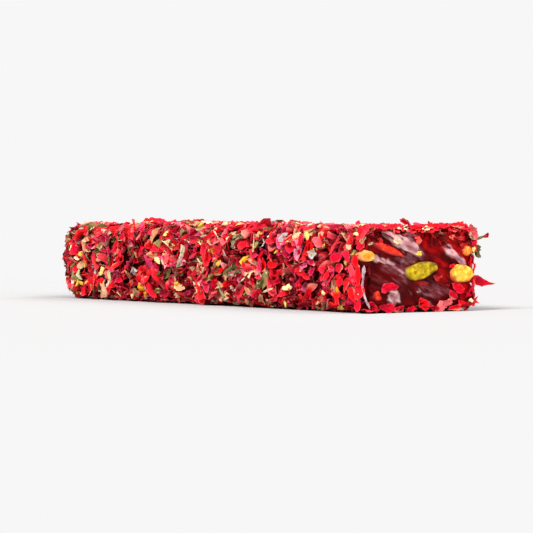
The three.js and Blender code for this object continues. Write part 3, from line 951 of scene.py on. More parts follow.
@dataclass
class PetalCoat:
    """The coat of flakes on the long sides and the coated end."""

    form: BarForm
    overhang: float = 0.9  # flakes reach this far past the slice's mean plane
    reach_share: float = 0.45  # share of a flake's size that it reaches past its middle
    end_tuck: float = 1.9  # how much lower flakes lie on the rounded end
    end_shrink: float = 0.36  # and how much smaller they are
    flat_turned: float = 0.6  # how much the end's flat counts as rounded
    flat_crowding: float = 1.15  # how much denser flakes lie on it
    flat_least: int = 4  # flakes of each kind on it
    relief: Noise = Noise(0.9, 8.0, 5)  # of the coat's thickness, shared by all kinds
    lay: float = 30.0  # degrees from the bar's length that rolling laid the long flakes at
    lay_spread: float = 0.7  # radians that they stray from it
    roll_spread: float = 0.35  # radians that they roll to a side
    pressed_flat: float = 0.92  # share of tilt, roll and curl that the flakes under the bar lose
    pressed_in: float = 1.2  # and how much lower they lie
    under_depth: float = 0.03  # least depth in the skin of those that face straight down
    tint_drift: Noise = Noise(0.3, 9.0, 0)  # which makes neighbours alike in tint
    spot_jitter: float = 0.35  # share of their mean distance that flakes stray from even places
    start_step: int = 1000  # how far apart the kinds start in the sequence of even places
    group_cells: tuple[float, float] = (14.0, 9.0)  # groups along the bar and round it
    # Low, high and width of the bare edge of the slice, and of the bare patch round the nut at its corner.
    bare_low: tuple[float, float, float] = (1.0, 15.5, 0.2)
    bare_nut: tuple[float, float, float] = (16.0, 21.0, 3.0)

    def scatter(self, kind: FlakeKind, face: Face, rng: np.random.Generator) -> FlakeBatch:
        """Lays the flakes of one kind on one face.

        Each is spun about the skin's normal to somewhere near the way that rolling laid them, pitched up at
        one end, rolled a little, and set by the height of its tip. Neighbours tend to be alike in tint.

        Args:
            kind: the kind of flake.
            face: the part of the bar.
            rng: the source of the draws.

        Returns:
            The batch.
        """
        form = self.form
        side_area = 2 * (form.width + form.height) * form.length
        flat_width = form.width - 2 * form.end_round_depth
        flat_height = form.height - 2 * form.end_round_depth
        flat_share = flat_width * flat_height / side_area
        count = kind.count
        if face is Face.COATED_END:
            count = max(self.flat_least, round(kind.count * flat_share * self.flat_crowding))
        spots = self.spots(kind, count, rng)
        length = rng.uniform(*kind.length, count)
        width = length * rng.uniform(*kind.aspect, count)
        wide = sum(kind.aspect) > 2  # then the width is what rolling laid
        lay = math.radians(self.lay) - wide * math.pi / 2 + math.pi * rng.integers(0, 2, (count, 1))
        spin = lay + self.lay_spread * rng.normal(size=(count, 1))
        turned = np.full(count, self.flat_turned)
        if face is Face.SIDES:
            place = form.places_along(spots[:, 0])
            turned = form.rounded(place)
            along_reach = length * np.abs(np.cos(spin[:, 0]))
            reach = self.reach_share * np.maximum(along_reach, width * np.abs(np.sin(spin[:, 0])))
            point = form.skin(place, spots[:, 1])
            spare = self.overhang - self.bare(point)
            place = np.minimum(place, form.cut_end + spare - reach)
            point, normal = form.skin(place, spots[:, 1]), form.normal(place, spots[:, 1])
        else:
            y = (spots[:, 0] - 0.5) * flat_width
            z = form.middle_height + (spots[:, 1] - 0.5) * flat_height
            point = np.stack([np.full(count, form.coated_end), y, z], axis=-1)
            normal = np.tile(-OUTWARD, (count, 1))
        end_facing = np.abs(normal[:, :1]) > 0.7
        guide = np.where(end_facing, [[0.0, 1.0, 0.0]], [OUTWARD])
        first = unit(guide - (guide * normal).sum(1, keepdims=True) * normal)
        flat_along = np.cos(spin) * first + np.sin(spin) * np.cross(normal, first)
        downward = np.clip(-normal[:, 2], 0, 1)
        under = downward**2
        free = 1 - self.pressed_flat * under
        pitch = np.radians(rng.uniform(*kind.tilt, count)) * free
        roll = rng.normal(scale=self.roll_spread, size=count) * free
        along, across, upright = tilted(flat_along, normal, pitch, roll)
        tip = rng.uniform(*kind.tip, count) - self.end_tuck * turned
        tip += self.relief.at(point) - self.pressed_in * downward
        smaller = 1 - self.end_shrink * turned
        curl = rng.uniform(*kind.curl, count) * free
        cup = rng.uniform(*kind.cup, count) * free
        drift = self.tint_drift.at(point, kind.seed)
        pressed = np.minimum(tip, 0) / 2 - self.under_depth
        return FlakeBatch(
            ground=point,
            up=normal,
            along=along,
            across=across,
            normal=upright,
            length=length * smaller,
            width=width * smaller,
            curl=curl,
            cup=cup,
            tint=1 - np.abs(1 - np.abs(rng.uniform(size=count) + drift)),
            tip=np.where(under > 0.5, pressed, tip),
        )

    def spots(self, kind: FlakeKind, count: int, rng: np.random.Generator) -> Array:
        """Where flakes of a kind lie on a face, as places in the unit square.

        The places follow an evenly spread sequence with some jitter. For a kind that lies in groups there are
        twice as many as are needed, and those are kept that come out highest in a draw with slow noise added.

        Args:
            kind: the kind of flake.
            count: how many are wanted.
            rng: the source of the draws.

        Returns:
            (count, 2) places.
        """
        many = 2 * count if kind.cluster else count
        jitter = rng.normal(scale=self.spot_jitter / math.sqrt(many), size=(many, 2))
        spots = even_points(many, kind.seed * self.start_step) + jitter
        spots[:, 0] = np.clip(spots[:, 0], 0, 1) ** kind.drift
        if kind.cluster:
            cells = np.column_stack([spots * self.group_cells, np.zeros(many)])
            grouped = value_noise(cells, 1.0, kind.group)
            rank = kind.cluster * grouped + rng.uniform(-1, 1, many)
            spots = spots[np.sort(np.argsort(-rank)[:count])]
        return spots

    def bare(self, point: Array) -> Array:
        """How far back from the slice the coat begins, on the side that shows the nut.

        Args:
            point: (n, 3) points of the skin.

        Returns:
            (n,) distances.
        """
        side_depth = 4.0
        near = point[:, 1] < -self.form.width / 2 + side_depth
        width = np.zeros(len(point))
        for low, high, reach in (self.bare_low, self.bare_nut):
            width += (self.overhang + reach) * (near & (point[:, 2] > low) & (point[:, 2] < high))
        return width

    def build(self, kind: FlakeKind) -> None:
        """Scatters one kind over the whole coat, builds its piece and dresses it.

        Args:
            kind: the kind of flake.
        """
        rng = np.random.default_rng(kind.seed)
        batch = FlakeBatch.joined([self.scatter(kind, face, rng) for face in Face])
        piece = kind.shape.build(kind.name, batch, rng)
        settle(piece, kind.finish.material(), COAT_SLOT, COATED_NODE)


@dataclass(frozen=True)
class SetFlake:
    """One flake that lies at a known place of the slice.

    Its middle is at y and z, its length runs at the slope, its far end is pitched and its upper side rolled
    out of the slice, all in degrees, and its highest point stands a little proud of the jelly.
    """

    y: float
    z: float
    length: float
    width: float
    slope: float
    tint: float
    proud: float = 0.5
    pitch: float = 0.0
    roll: float = 0.0
    curl: float = 0.2
    cup: float = 0.15
    back: float = 0.0  # how far behind the slice's mean plane its ground lies


@dataclass
class SliceDressing:
    """The flakes that lie on the slice or hang over its rim, one piece for each kind."""

    form: BarForm
    rim_from: float = 0.135  # share of the way round the bar at which the fringe begins
    rim_run: float = 0.565  # and that it runs over: both sides and the top
    rim_inset: tuple[float, float] = (0.4, 0.7)  # how far behind the slice and under the skin its ground lies
    rim_read: float = 1.0  # how far behind the slice the skin's direction is read
    lean: tuple[float, float] = (5, 60)  # degrees that its flakes lean over from the skin to the slice
    fringe_length: tuple[float, float] = (3.6, 7.5)
    fringe_aspect: tuple[float, float] = (0.24, 0.46)
    fringe_curl: tuple[float, float] = (-0.4, 0.5)
    fringe_cup: tuple[float, float] = (-0.8, 0.6)
    fringe_tip: tuple[float, float] = (0.1, 1.1)
    fringe_spin: float = 0.4  # radians that they stray from lying along the rim
    fringe_tilt: float = 0.25  # radians that they pitch and roll

    def build(
        self, name: str, flakes: tuple[SetFlake, ...], shape: FlakeShape, finish: FlakeFinish, seed: int
    ) -> None:
        """Builds and dresses the flakes of one kind.

        Args:
            name: the piece's name.
            flakes: where each of them lies.
            shape: how they are cut.
            finish: how they look.
            seed: seed of their torn rims.
        """
        table = np.array([list(vars(f).values()) for f in flakes])
        y, z, length, width, slope, tint, proud, pitch, roll, curl, cup, back = table.T
        slope = np.radians(slope)
        up = np.tile(OUTWARD, (len(y), 1))
        flat_along = np.stack([0 * y, np.cos(slope), np.sin(slope)], axis=-1)
        along, across, normal = tilted(flat_along, up, np.radians(pitch), np.radians(roll))
        x = self.form.cut_end + self.form.slice_height(y, z) - back
        ground = np.stack([x, y, z], -1)
        batch = FlakeBatch(ground, up, along, across, normal, length, width, curl, cup, tint, proud)
        piece = shape.build(name, batch, np.random.default_rng(seed))
        settle(piece, finish.material(), COAT_SLOT, COATED_NODE)

    def fringe(self, name: str, count: int, shape: FlakeShape, finish: FlakeFinish, seed: int) -> None:
        """Flakes that the knife dragged over the rim, curved round it from the coat onto the slice.

        Args:
            name: the piece's name.
            count: how many there are.
            shape: how they are cut.
            finish: how they look.
            seed: seed of all draws.
        """
        rng = np.random.default_rng(seed)
        share = self.rim_from + self.rim_run * np.mod(0.5 + GOLDEN_STEP * np.arange(count), 1.0)
        behind, under = self.rim_inset
        outward = self.form.normal(np.full(count, self.form.cut_end - self.rim_read), share)
        outward = unit(outward * (1 - OUTWARD))
        lean = np.radians(rng.uniform(*self.lean, count))[:, None]
        up = np.cos(lean) * outward + np.sin(lean) * OUTWARD
        ground = self.form.skin(np.full(count, self.form.cut_end - behind), share, under)
        tangent = np.cross(outward, OUTWARD)
        spin = rng.normal(scale=self.fringe_spin, size=(count, 1))
        flat_along = np.cos(spin) * tangent + np.sin(spin) * np.cross(up, tangent)
        pitch, roll = rng.normal(scale=self.fringe_tilt, size=(2, count))
        along, across, normal = tilted(flat_along, up, pitch, roll)
        length = rng.uniform(*self.fringe_length, count)
        width = length * rng.uniform(*self.fringe_aspect, count)
        curl, cup = rng.uniform(*self.fringe_curl, count), rng.uniform(*self.fringe_cup, count)
        tint, tip = rng.uniform(size=count), rng.uniform(*self.fringe_tip, count)
        batch = FlakeBatch(ground, up, along, across, normal, length, width, curl, cup, tint, tip)
        piece = shape.build(name, batch, rng)
        settle(piece, finish.material(), COAT_SLOT, COATED_NODE)


# ---------------------------------------------------------------------------------------------------------
# The jelly
# ---------------------------------------------------------------------------------------------------------


@dataclass(frozen=True)
class Patch:
    """A soft oval patch of the slice, with its middle, half sizes, slope in degrees and strength."""

    y: float
    z: float
    long: float
    wide: float
    slope: float
    strength: float

    def share(self, y: Array, z: Array) -> Array:
        """Strength times exp of minus the fourth power of the scaled distance, which gives a firm edge."""
        along, across = on_slope(y - self.y, z - self.z, self.slope)
        return self.strength * np.exp(-(((along / self.long) ** 2 + (across / self.wide) ** 2) ** 2))


@dataclass
class JellyCore:
    """The jelly log inside the coat, with its sliced face."""

    form: BarForm
    inset: float = 2.8  # under the coat
    end_tuck: float = 1.2  # more of it at the rounded end
    face_inset: float = 0.6  # at the slice, where the coat is cut through
    flare: float = 3.0  # length over which the inset goes from one to the other
    around: int = 360  # points of a ring
    body_rings: int = 120
    end_shares: tuple[float, ...] = (0.25, 0.5, 0.75)  # of its size that the rings of the coated end have
    face_rings: int = 84
    face_crowding: float = 1.1  # over 1 sets the slice's rings closer together at its rim
    lip: float = 2.2  # radius of the rounded rim of the slice
    crumb: float = 0.5  # how much of the body's relief shows under the coat
    body_relief: tuple[Noise, Noise] = (Noise(0.7, 3.0, 51), Noise(0.4, 1.4, 52))
    torn: tuple[Noise, Noise] = (Noise(0.3, 1.4, 7), Noise(0.12, 0.7, 9))  # along the knife's way
    lumps: Noise = Noise(0.3, 3.4, 8)  # of the slice
    mask_depth: tuple[float, float] = (0.8, 0.6)  # how far behind the rim clouds start, and grow over
    shift_y: tuple[Noise, Noise] = (Noise(0.5, 2.6, 3), Noise(1.2, 0.8, 4))  # plain and smeared
    shift_z: tuple[Noise, Noise] = (Noise(0.35, 2.2, 5), Noise(0.6, 0.8, 6))
    streaked: tuple[Noise, Noise] = (Noise(0.3, 2.0, 0), Noise(0.45, 1.0, 1))
    streak_mean: float = 0.85
    cloud_edge: tuple[float, float] = (0.22, 0.5)  # sum of patches at which a cloud starts, and grows over
    # Starch veils with painted highlights on the ridges, hazes and clear, glowing parts: y, z, half length,
    # half width, slope and strength.
    starch_and_highlights: tuple[Patch, ...] = (
        Patch(-7.7, 23.1, 7.2, 1.9, -27, 1.2),
        Patch(-3.4, 21.0, 5.4, 2.2, -25, 1.0),
        Patch(-11.9, 24.6, 3.1, 1.9, -46, 1.4),
        Patch(12.6, 19.5, 4.4, 1.7, -34, 1.0),
        Patch(16.9, 16.9, 4.4, 1.3, -28, 0.85),
        Patch(-11.7, 16.6, 3.0, 1.3, -12, 0.7),
        Patch(-17.6, 17.8, 2.2, 1.3, -20, 1.0),
        Patch(-14.4, 16.8, 2.6, 1.0, -22, 0.7),
        Patch(-10.6, 4.3, 3.0, 2.7, 20, 1.3),
        Patch(-11.9, 6.8, 1.8, 0.8, 0, 0.6),
        Patch(-7.4, 13.4, 0.9, 1.4, 0, 0.55),
        Patch(0.6, 7.3, 0.9, 0.8, 0, 0.7),
        Patch(5.4, 2.4, 2.2, 0.55, -35, 0.75),
        Patch(8.7, 6.3, 2.8, 0.5, -32, 0.42),
        Patch(3.6, 8.0, 2.2, 0.45, -30, 0.4),
        Patch(11.2, 8.7, 2.4, 0.5, -32, 0.38),
        Patch(-3.8, 6.3, 2.0, 0.5, -30, 0.36),
    )
    hazes: tuple[Patch, ...] = (
        Patch(-6.1, 13.1, 5.5, 4.4, 0, 0.85),
        Patch(6.4, 7.3, 9.0, 3.2, -8, 0.75),
        Patch(-12.6, 14.2, 4.0, 2.4, -10, 0.55),
        Patch(14.3, 19.8, 5.0, 2.8, -30, 0.8),
        Patch(-5.1, 17.6, 6.0, 1.8, 0, 0.85),
        Patch(-15.9, 21.1, 4.0, 1.6, -40, 0.5),
        Patch(-2.4, 25.1, 4.0, 1.4, -20, 0.6),
        Patch(-4.5, 22.1, 8.5, 2.6, -27, 0.85),
    )
    glows: tuple[Patch, ...] = (
        Patch(9.9, 24.0, 13.5, 4.4, -6, 1.0),
        Patch(10.4, 24.4, 9.0, 3.0, -8, 1.3),
        Patch(5.6, 20.0, 4.0, 5.0, -20, 0.5),
        Patch(9.9, 13.1, 3.2, 4.6, 20, 1.0),
        Patch(-19.0, 12.6, 2.6, 1.2, -10, 0.35),
        Patch(20.3, 7.4, 3.6, 5.0, 0, 0.9),
        Patch(1.4, 9.5, 4.5, 1.1, -4, 0.8),
        Patch(-19.7, 22.0, 4.0, 4.0, 0, 0.8),
        Patch(21.7, 20.0, 3.4, 6.0, 0, 1.0),
        Patch(18.8, 23.8, 4.5, 3.4, -20, 0.9),
        Patch(16.6, 18.7, 6.0, 3.2, -34, 0.7),
    )

    def build(self) -> None:
        """Builds and dresses the closed body.

        Rings of points follow the skin a little inside it from the coated end to the slice, and each end is
        closed by rings that shrink to one point. On the slice a ring's points get the ridges' height, the
        rounded rim, and fine tearing from noise stretched along the knife's way.
        """
        form = self.form
        share = np.arange(self.around) / self.around
        first = form.coated_end + self.inset
        last = form.cut_end - self.lip
        place = np.linspace(first, last, self.body_rings)
        toward = np.clip((place - last) / self.flare + 1, 0, 1)
        tucked = self.end_tuck * form.rounded(place)
        inset = (self.inset + (self.face_inset - self.inset) * toward**2 + tucked)[:, None]
        body = form.skin(place[:, None], share[None, :], inset)
        normal = form.normal(*np.meshgrid(place, share, indexing="ij"))
        flat = body.reshape(-1, 3)
        relief = sum(noise.at(flat) for noise in self.body_relief).reshape(body.shape[:2])
        body = body + (self.crumb * (1 - toward[:, None]) * relief)[..., None] * normal
        middle = np.array([0.0, form.middle_height])
        end = np.repeat(body[:1], len(self.end_shares), axis=0)
        end[:, :, 1:] = middle + np.array(self.end_shares)[:, None, None] * (body[0, :, 1:] - middle)
        rim_step = 1 - (np.arange(1, self.face_rings) / self.face_rings) ** self.face_crowding
        face = np.repeat(body[-1:], len(rim_step), axis=0)
        face[:, :, 1:] = middle + rim_step[:, None, None] * (body[-1, :, 1:] - middle)
        rim_share = np.repeat(rim_step[:, None], self.around, 1)
        face[:, :, 0] = self.surface(face[:, :, 1], face[:, :, 2], rim_share)
        rings = np.concatenate([end, body, face])
        peak = self.surface(*np.array([[0.0], [form.middle_height], [0.0]]))[0]
        points = np.concatenate([rings.reshape(-1, 3), [[first, *middle], [peak, *middle]]])
        piece = put_mesh("jelly_core", in_frame(points), closed_rings(len(rings), self.around))
        behind, grown = self.mask_depth
        on_face = np.clip((points[:, 0] - last + behind) / grown, 0, 1)
        clouds = (("starch_and_highlight", self.starch_and_highlights, 21), ("glow", self.glows, 33), ("haze", self.hazes, 45))
        for name, patches, seed in clouds:
            put_values(piece, name, on_face * self.cover(points, patches, seed))
        settle(piece, JellyFinish().material(), COAT_SLOT, COATED_NODE)

    def surface(self, y: Array, z: Array, rim_share: Array) -> Array:
        """The slice's place along X.

        It is the mean plane with the ridges and three noises on it, less a quarter circle's drop at the rim.

        Args:
            y: place along Y.
            z: place along Z.
            rim_share: 1 at the rim and 0 in the middle.

        Returns:
            The place along X for each point.
        """
        form = self.form
        flat = np.stack([np.zeros(y.size), y.ravel(), z.ravel()], axis=-1)
        streaks = smeared(flat)
        coarse, fine = self.torn
        detail = (coarse.at(streaks) + self.lumps.at(flat) + fine.at(streaks)).reshape(y.shape)
        from_rim = np.clip((1 - rim_share) * form.middle_height, 0, self.lip)
        drop = self.lip - np.sqrt(np.clip(self.lip**2 - (self.lip - from_rim) ** 2, 0, None))
        return form.cut_end + from_rim / self.lip * (form.slice_height(y, z) + detail) - drop

    def cover(self, points: Array, patches: tuple[Patch, ...], seed: int) -> Array:
        """How much of a set of patches covers each point.

        It is the patches' sum, read at places that noise shifts, broken by streaks and firmed at its edge.

        Args:
            points: (n, 3) points of the slice.
            patches: the patches.
            seed: seed of the noises.

        Returns:
            (n,) shares from 0 to 1.
        """
        streaks = smeared(points)
        layers = (
            (points[:, 1], self.shift_y),
            (points[:, 2], self.shift_z),
            (self.streak_mean, self.streaked),
        )
        y, z, broken = (start + a.at(points, seed) + b.at(streaks, seed) for start, (a, b) in layers)
        total = sum(p.share(y, z) for p in patches)
        least, width = self.cloud_edge
        return eased(np.clip((total * broken - least) / width, 0, 1)) * np.clip(total, 0, 1)


# ---------------------------------------------------------------------------------------------------------
# Nuts and fruit in the slice
# ---------------------------------------------------------------------------------------------------------


@dataclass(frozen=True)
class Inclusion:
    """A nut or a piece of fruit in the slice, with the same place and size as its solid has."""

    name: str
    y: float
    z: float
    half: tuple[float, float, float]  # half sizes along it, across it and into the slice
    slope: float  # degrees from +Y towards +Z
    proud: float  # how far its slice stands out of the jelly's
    taper: float  # how much narrower its far end is
    finish: NutFinish
    slot: str
    grain: float = 0.22  # height of the flesh's grain
    seed: int = 1
    sunk: float = 0.25  # share of its half depth that its middle lies behind the slice's mean plane
    ripple: float = 0.05  # share of its size that its waves add, as in the solid
    lumps: Noise = Noise(0.05, 0.5, 0)  # share of its size that noise adds
    grains: tuple[Noise, Noise] = (Noise(1.0, 1.5, 4), Noise(0.6, 0.7, 5))
    rim_from: float = 0.55  # share of its half size from which its slice falls towards its rim
    rim_fall: float = 0.7
    cut_sharpness: float = 4.0  # how sharp the edge between the slice and the round sides is
    skin_from: float = 0.72  # share of its half size at which its skin begins to show
    skin_fade: float = 0.22
    skin_wander: Noise = Noise(0.18, 1.8, 9)
    around: int = 72  # points of a ring
    rings: int = 40

    def build(self, form: BarForm) -> None:
        """Builds and dresses the piece.

        A sphere of angles is stretched to the half sizes, tapered along its length and rippled as its solid
        is, then cut softly at the height of its own slice, where noise gives the flesh its grain. The soft
        cut is the smooth minimum of both: minus the log of the sum of both exps of minus their height.

        Args:
            form: the bar's form.
        """
        turn, lean = np.meshgrid(
            np.arange(self.around) / self.around * 2 * math.pi,
            np.arange(1, self.rings) / self.rings * math.pi,
            indexing="xy",
        )
        round_off = [np.cos(lean), np.sin(lean) * np.cos(turn), np.sin(lean) * np.sin(turn)]
        ball = np.concatenate([np.stack(round_off, -1).reshape(-1, 3), [OUTWARD, -OUTWARD]])
        a, b, c = ball.T
        ripple = 1 + self.ripple * np.sin(5 * a + 3 * b + self.y) * np.cos(4 * b - 2 * c)
        lumps = 1 + self.lumps.at(ball, self.seed)
        local = ball * np.array(self.half) * (ripple * lumps)[:, None]
        local[:, 1] *= 1 - self.taper * a
        slope = math.radians(self.slope)
        along = np.array([0, math.cos(slope), math.sin(slope)])
        across = np.array([0, -math.sin(slope), math.cos(slope)])
        origin = np.array([form.cut_end - self.sunk * self.half[2], self.y, self.z])
        points = origin + local[:, :1] * along + local[:, 1:2] * across + local[:, 2:] * OUTWARD
        level = form.cut_end + form.slice_height(np.array([self.y]), np.array([self.z]))[0] + self.proud
        flat = points * (1 - OUTWARD)
        grain = self.grain * sum(noise.at(flat, self.seed) for noise in self.grains)
        edge = np.linalg.norm(ball[:, :2], axis=1)
        face = level + grain - self.rim_fall * np.clip(edge - self.rim_from, 0, 1) ** 2
        firm = self.cut_sharpness
        points[:, 0] = -np.logaddexp(-points[:, 0] * firm, -face * firm) / firm
        faces = closed_rings(self.rings - 1, self.around, inside_out=True)
        piece = put_mesh(self.name + "_sliced", in_frame(points), faces)
        wander = self.skin_wander.at(flat, self.seed)
        rim = np.clip((edge - self.skin_from + wander) / self.skin_fade, 0, 1)
        put_values(piece, "rim", rim)
        settle(piece, self.finish.material(), self.slot, self.name)


# ---------------------------------------------------------------------------------------------------------
# Studio
# ---------------------------------------------------------------------------------------------------------


@dataclass(frozen=True)
class Lamp:
    """A far, soft light: where it stands, seen from the bar, its strength, and how wide it looks."""

    name: str
    azimuth: float  # degrees from -Y towards +X
    elevation: float  # degrees
    strength: float
    spread: float  # degrees
    colour: str = "#ffffff"

    def build(self) -> None:
        """Adds the light as a sun of that width, which lights the whole floor alike."""
        data = bpy.data.lights.new(self.name, "SUN")
        data.energy, data.angle = self.strength, math.radians(self.spread)
        data.color = linear(self.colour)[:3]
        lamp = bpy.data.objects.new(self.name, data)
        bpy.context.scene.collection.objects.link(lamp)
        turn, rise = math.radians(self.azimuth), math.radians(self.elevation)
        back = Vector((math.sin(turn) * math.cos(rise), -math.cos(turn) * math.cos(rise), math.sin(rise)))
        lamp.rotation_euler = back.to_track_quat("Z", "Y").to_euler()


@dataclass(frozen=True)
class Studio:
    """Floor, lights and camera."""

    station: tuple[float, float, float] = (857.0, -598.0, 38.0)  # a little above the bar's upper side
    aim: tuple[float, float, float] = (41.0, -20.4, 14.1)
    lens: float = 200.0
    clip: tuple[float, float] = (0.01, 60.0)  # metres
    floor_radius: float = 9.0  # metres
    floor_sides: int = 96
    world: float = 0.5  # strength of the light from all round
    backdrop: str = "#f7f7f7"
    lamps: tuple[Lamp, ...] = (
        Lamp("key_window", 18, 42, 4.4, 26),
        Lamp("fill_window", 84, 34, 1.9, 40),
        Lamp("back_window", 150, 50, 1.2, 34),
    )

    def build_floor(self) -> None:
        """A wide paper disc under the bar."""
        sides = self.floor_sides
        turn = np.linspace(0, 2 * math.pi, sides, endpoint=False)
        rim = np.stack([self.floor_radius * np.cos(turn), self.floor_radius * np.sin(turn), 0 * turn], -1)
        points = np.concatenate([rim, [[0, 0, 0]]])
        index = np.arange(sides)
        fan = np.stack([np.full(sides, sides), index, np.roll(index, -1)], -1)
        floor = put_mesh("paper_floor", points, [fan])
        floor.data.materials.append(PaperFinish(backdrop=self.backdrop).material())

    def build_world(self) -> None:
        """A pale sky that looks as bright as the paper and lights the bar only a little."""
        world = bpy.data.worlds.new("studio")
        world.use_nodes = True
        tree = world.node_tree
        tree.nodes.clear()
        seen = add_node(tree, "ShaderNodeBackground", {"Color": linear(self.backdrop), "Strength": 1.0})
        lit = add_node(tree, "ShaderNodeBackground", {"Color": (1, 1, 1, 1), "Strength": self.world})
        path = add_node(tree, "ShaderNodeLightPath")
        both = add_node(
            tree,
            "ShaderNodeMixShader",
            links={0: path.outputs["Is Camera Ray"], 1: lit.outputs[0], 2: seen.outputs[0]},
        )
        add_node(tree, "ShaderNodeOutputWorld", links={"Surface": both.outputs[0]})
        bpy.context.scene.world = world

    def build_camera(self) -> None:
        """The camera, a little above the bar's upper side and aimed at the bar's middle."""
        station, aim = (Vector(in_frame(np.array(p))) for p in (self.station, self.aim))
        data = bpy.data.cameras.new("camera")
        data.lens = self.lens
        data.clip_start, data.clip_end = self.clip
        camera = bpy.data.objects.new("camera", data)
        bpy.context.scene.collection.objects.link(camera)
        camera.location = station
        camera.rotation_euler = (station - aim).to_track_quat("Z", "Y").to_euler()
        bpy.context.scene.camera = camera

    def build(self) -> None:
        """Sets up the whole studio."""
        bpy.context.scene.view_settings.view_transform = "Standard"
        self.build_floor()
        self.build_world()
        self.build_camera()
        for lamp in self.lamps:
            lamp.build()


# ---------------------------------------------------------------------------------------------------------
# What the bar is made of
# ---------------------------------------------------------------------------------------------------------

PETAL_STOPS = (
    (0.0, "#8c020a"),
    (0.09, "#b80620"),
    (0.18, "#d80a2e"),
    (0.27, "#e60a14"),
    (0.42, "#fa141c"),
    (0.54, "#fa163a"),
    (0.66, "#ff1c38"),
    (0.8, "#ff222a"),
    (0.93, "#ff4458"),
    (1.0, "#fa7a78"),
)
# Dry, matt petals from crimson to scarlet, which glow where the light comes through them.
PETALS = FlakeFinish(
    "dried_rose_petal",
    PETAL_STOPS,
    rim="#ff7078",
    rim_share=0.16,
    base_share=0.45,
    light_through=0.3,
)
# Crumbs and folded petals deep in the coat, coloured dark as painted shade between the bright ones.
SHADED_BED_PETALS = FlakeFinish(
    "shaded_rose_crumb",
    ((0.0, "#3a0306"), (0.4, "#620512"), (0.75, "#940810"), (1.0, "#bc1222")),
    rim="#96181f",
)
# Cooler, pink petals with a papery pale base.
PINK_PETALS = FlakeFinish(
    "pink_rose_petal",
    ((0.0, "#a80832"), (0.4, "#d81046"), (0.75, "#f0306a"), (1.0, "#f48aa2")),
    rim="#ff8aa4",
    base_share=0.5,
    light_through=0.35,
)
# Petals that the jelly has soaked: a moist sheen and a blurred, warmer red.
SOAKED_PETALS = FlakeFinish(
    "soaked_rose_petal",
    ((0.0, "#6c0508"), (0.3, "#8f0a0e"), (0.6, "#bc1216"), (0.85, "#e02a2a"), (1.0, "#ee6a58")),
    rim="#d03a3c",
    rim_share=0.15,
    painted_deep_shade_share=0.0,
    roughness=0.35,
    gloss=0.25,
)
# Straw-coloured sepals and stems, dry and dull.
HUSKS = FlakeFinish(
    "dry_sepal_straw",
    ((0.0, "#c8845c"), (0.3, "#e09a70"), (0.6, "#ecb88c"), (0.85, "#f2d2a0"), (1.0, "#f8e8b8")),
    rim="#f6e0b8",
    painted_deep_shade="#6e3a20",
    painted_deep_shade_share=0.6,
    roughness=0.6,
)
# Bits of leaf, dusty olive.
LEAVES = FlakeFinish(
    "dry_rose_leaf",
    ((0.0, "#4e4624"), (0.3, "#786c3a"), (0.65, "#a89a62"), (1.0, "#cac4a2")),
    rim="#c2b27c",
    painted_deep_shade="#3c2416",
    painted_deep_shade_share=0.6,
    roughness=0.65,
)
# Crushed nut, golden and slightly waxy.
GRAINS = FlakeFinish(
    "crushed_nut_grain",
    ((0.0, "#e0920c"), (0.25, "#ecb42c"), (0.5, "#eecb60"), (1.0, "#f2e0a0")),
    rim="#f2d488",
    painted_deep_shade="#8a4a18",
    painted_deep_shade_share=0.5,
    roughness=0.5,
)
# Bleached petal bases, chalky grey to cream.
PALE_BITS = FlakeFinish(
    "pale_petal_base",
    ((0.0, "#94939c"), (0.5, "#c4bab4"), (1.0, "#e8dcc8")),
    rim="#ecdcc8",
    painted_deep_shade="#6a4038",
    painted_deep_shade_share=0.5,
    roughness=0.6,
)
# A pale strand down the slice's near edge, a painted highlight on the jelly's rounded rim: milky and faintly
# glossy.
RIM_HIGHLIGHT_FILM = FlakeFinish(
    "painted_rim_highlight",
    ((0.0, "#84626a"), (0.5, "#a88890"), (1.0, "#ccb2b8")),
    rim="#d0bac0",
    painted_deep_shade_share=0.0,
    roughness=0.4,
    gloss=0.2,
)

SMALL_SHEET = FlakeSheet(4, 3)
WIDE_SHEET = FlakeSheet(8, 5)
FINE_SHEET = FlakeSheet(10, 7)

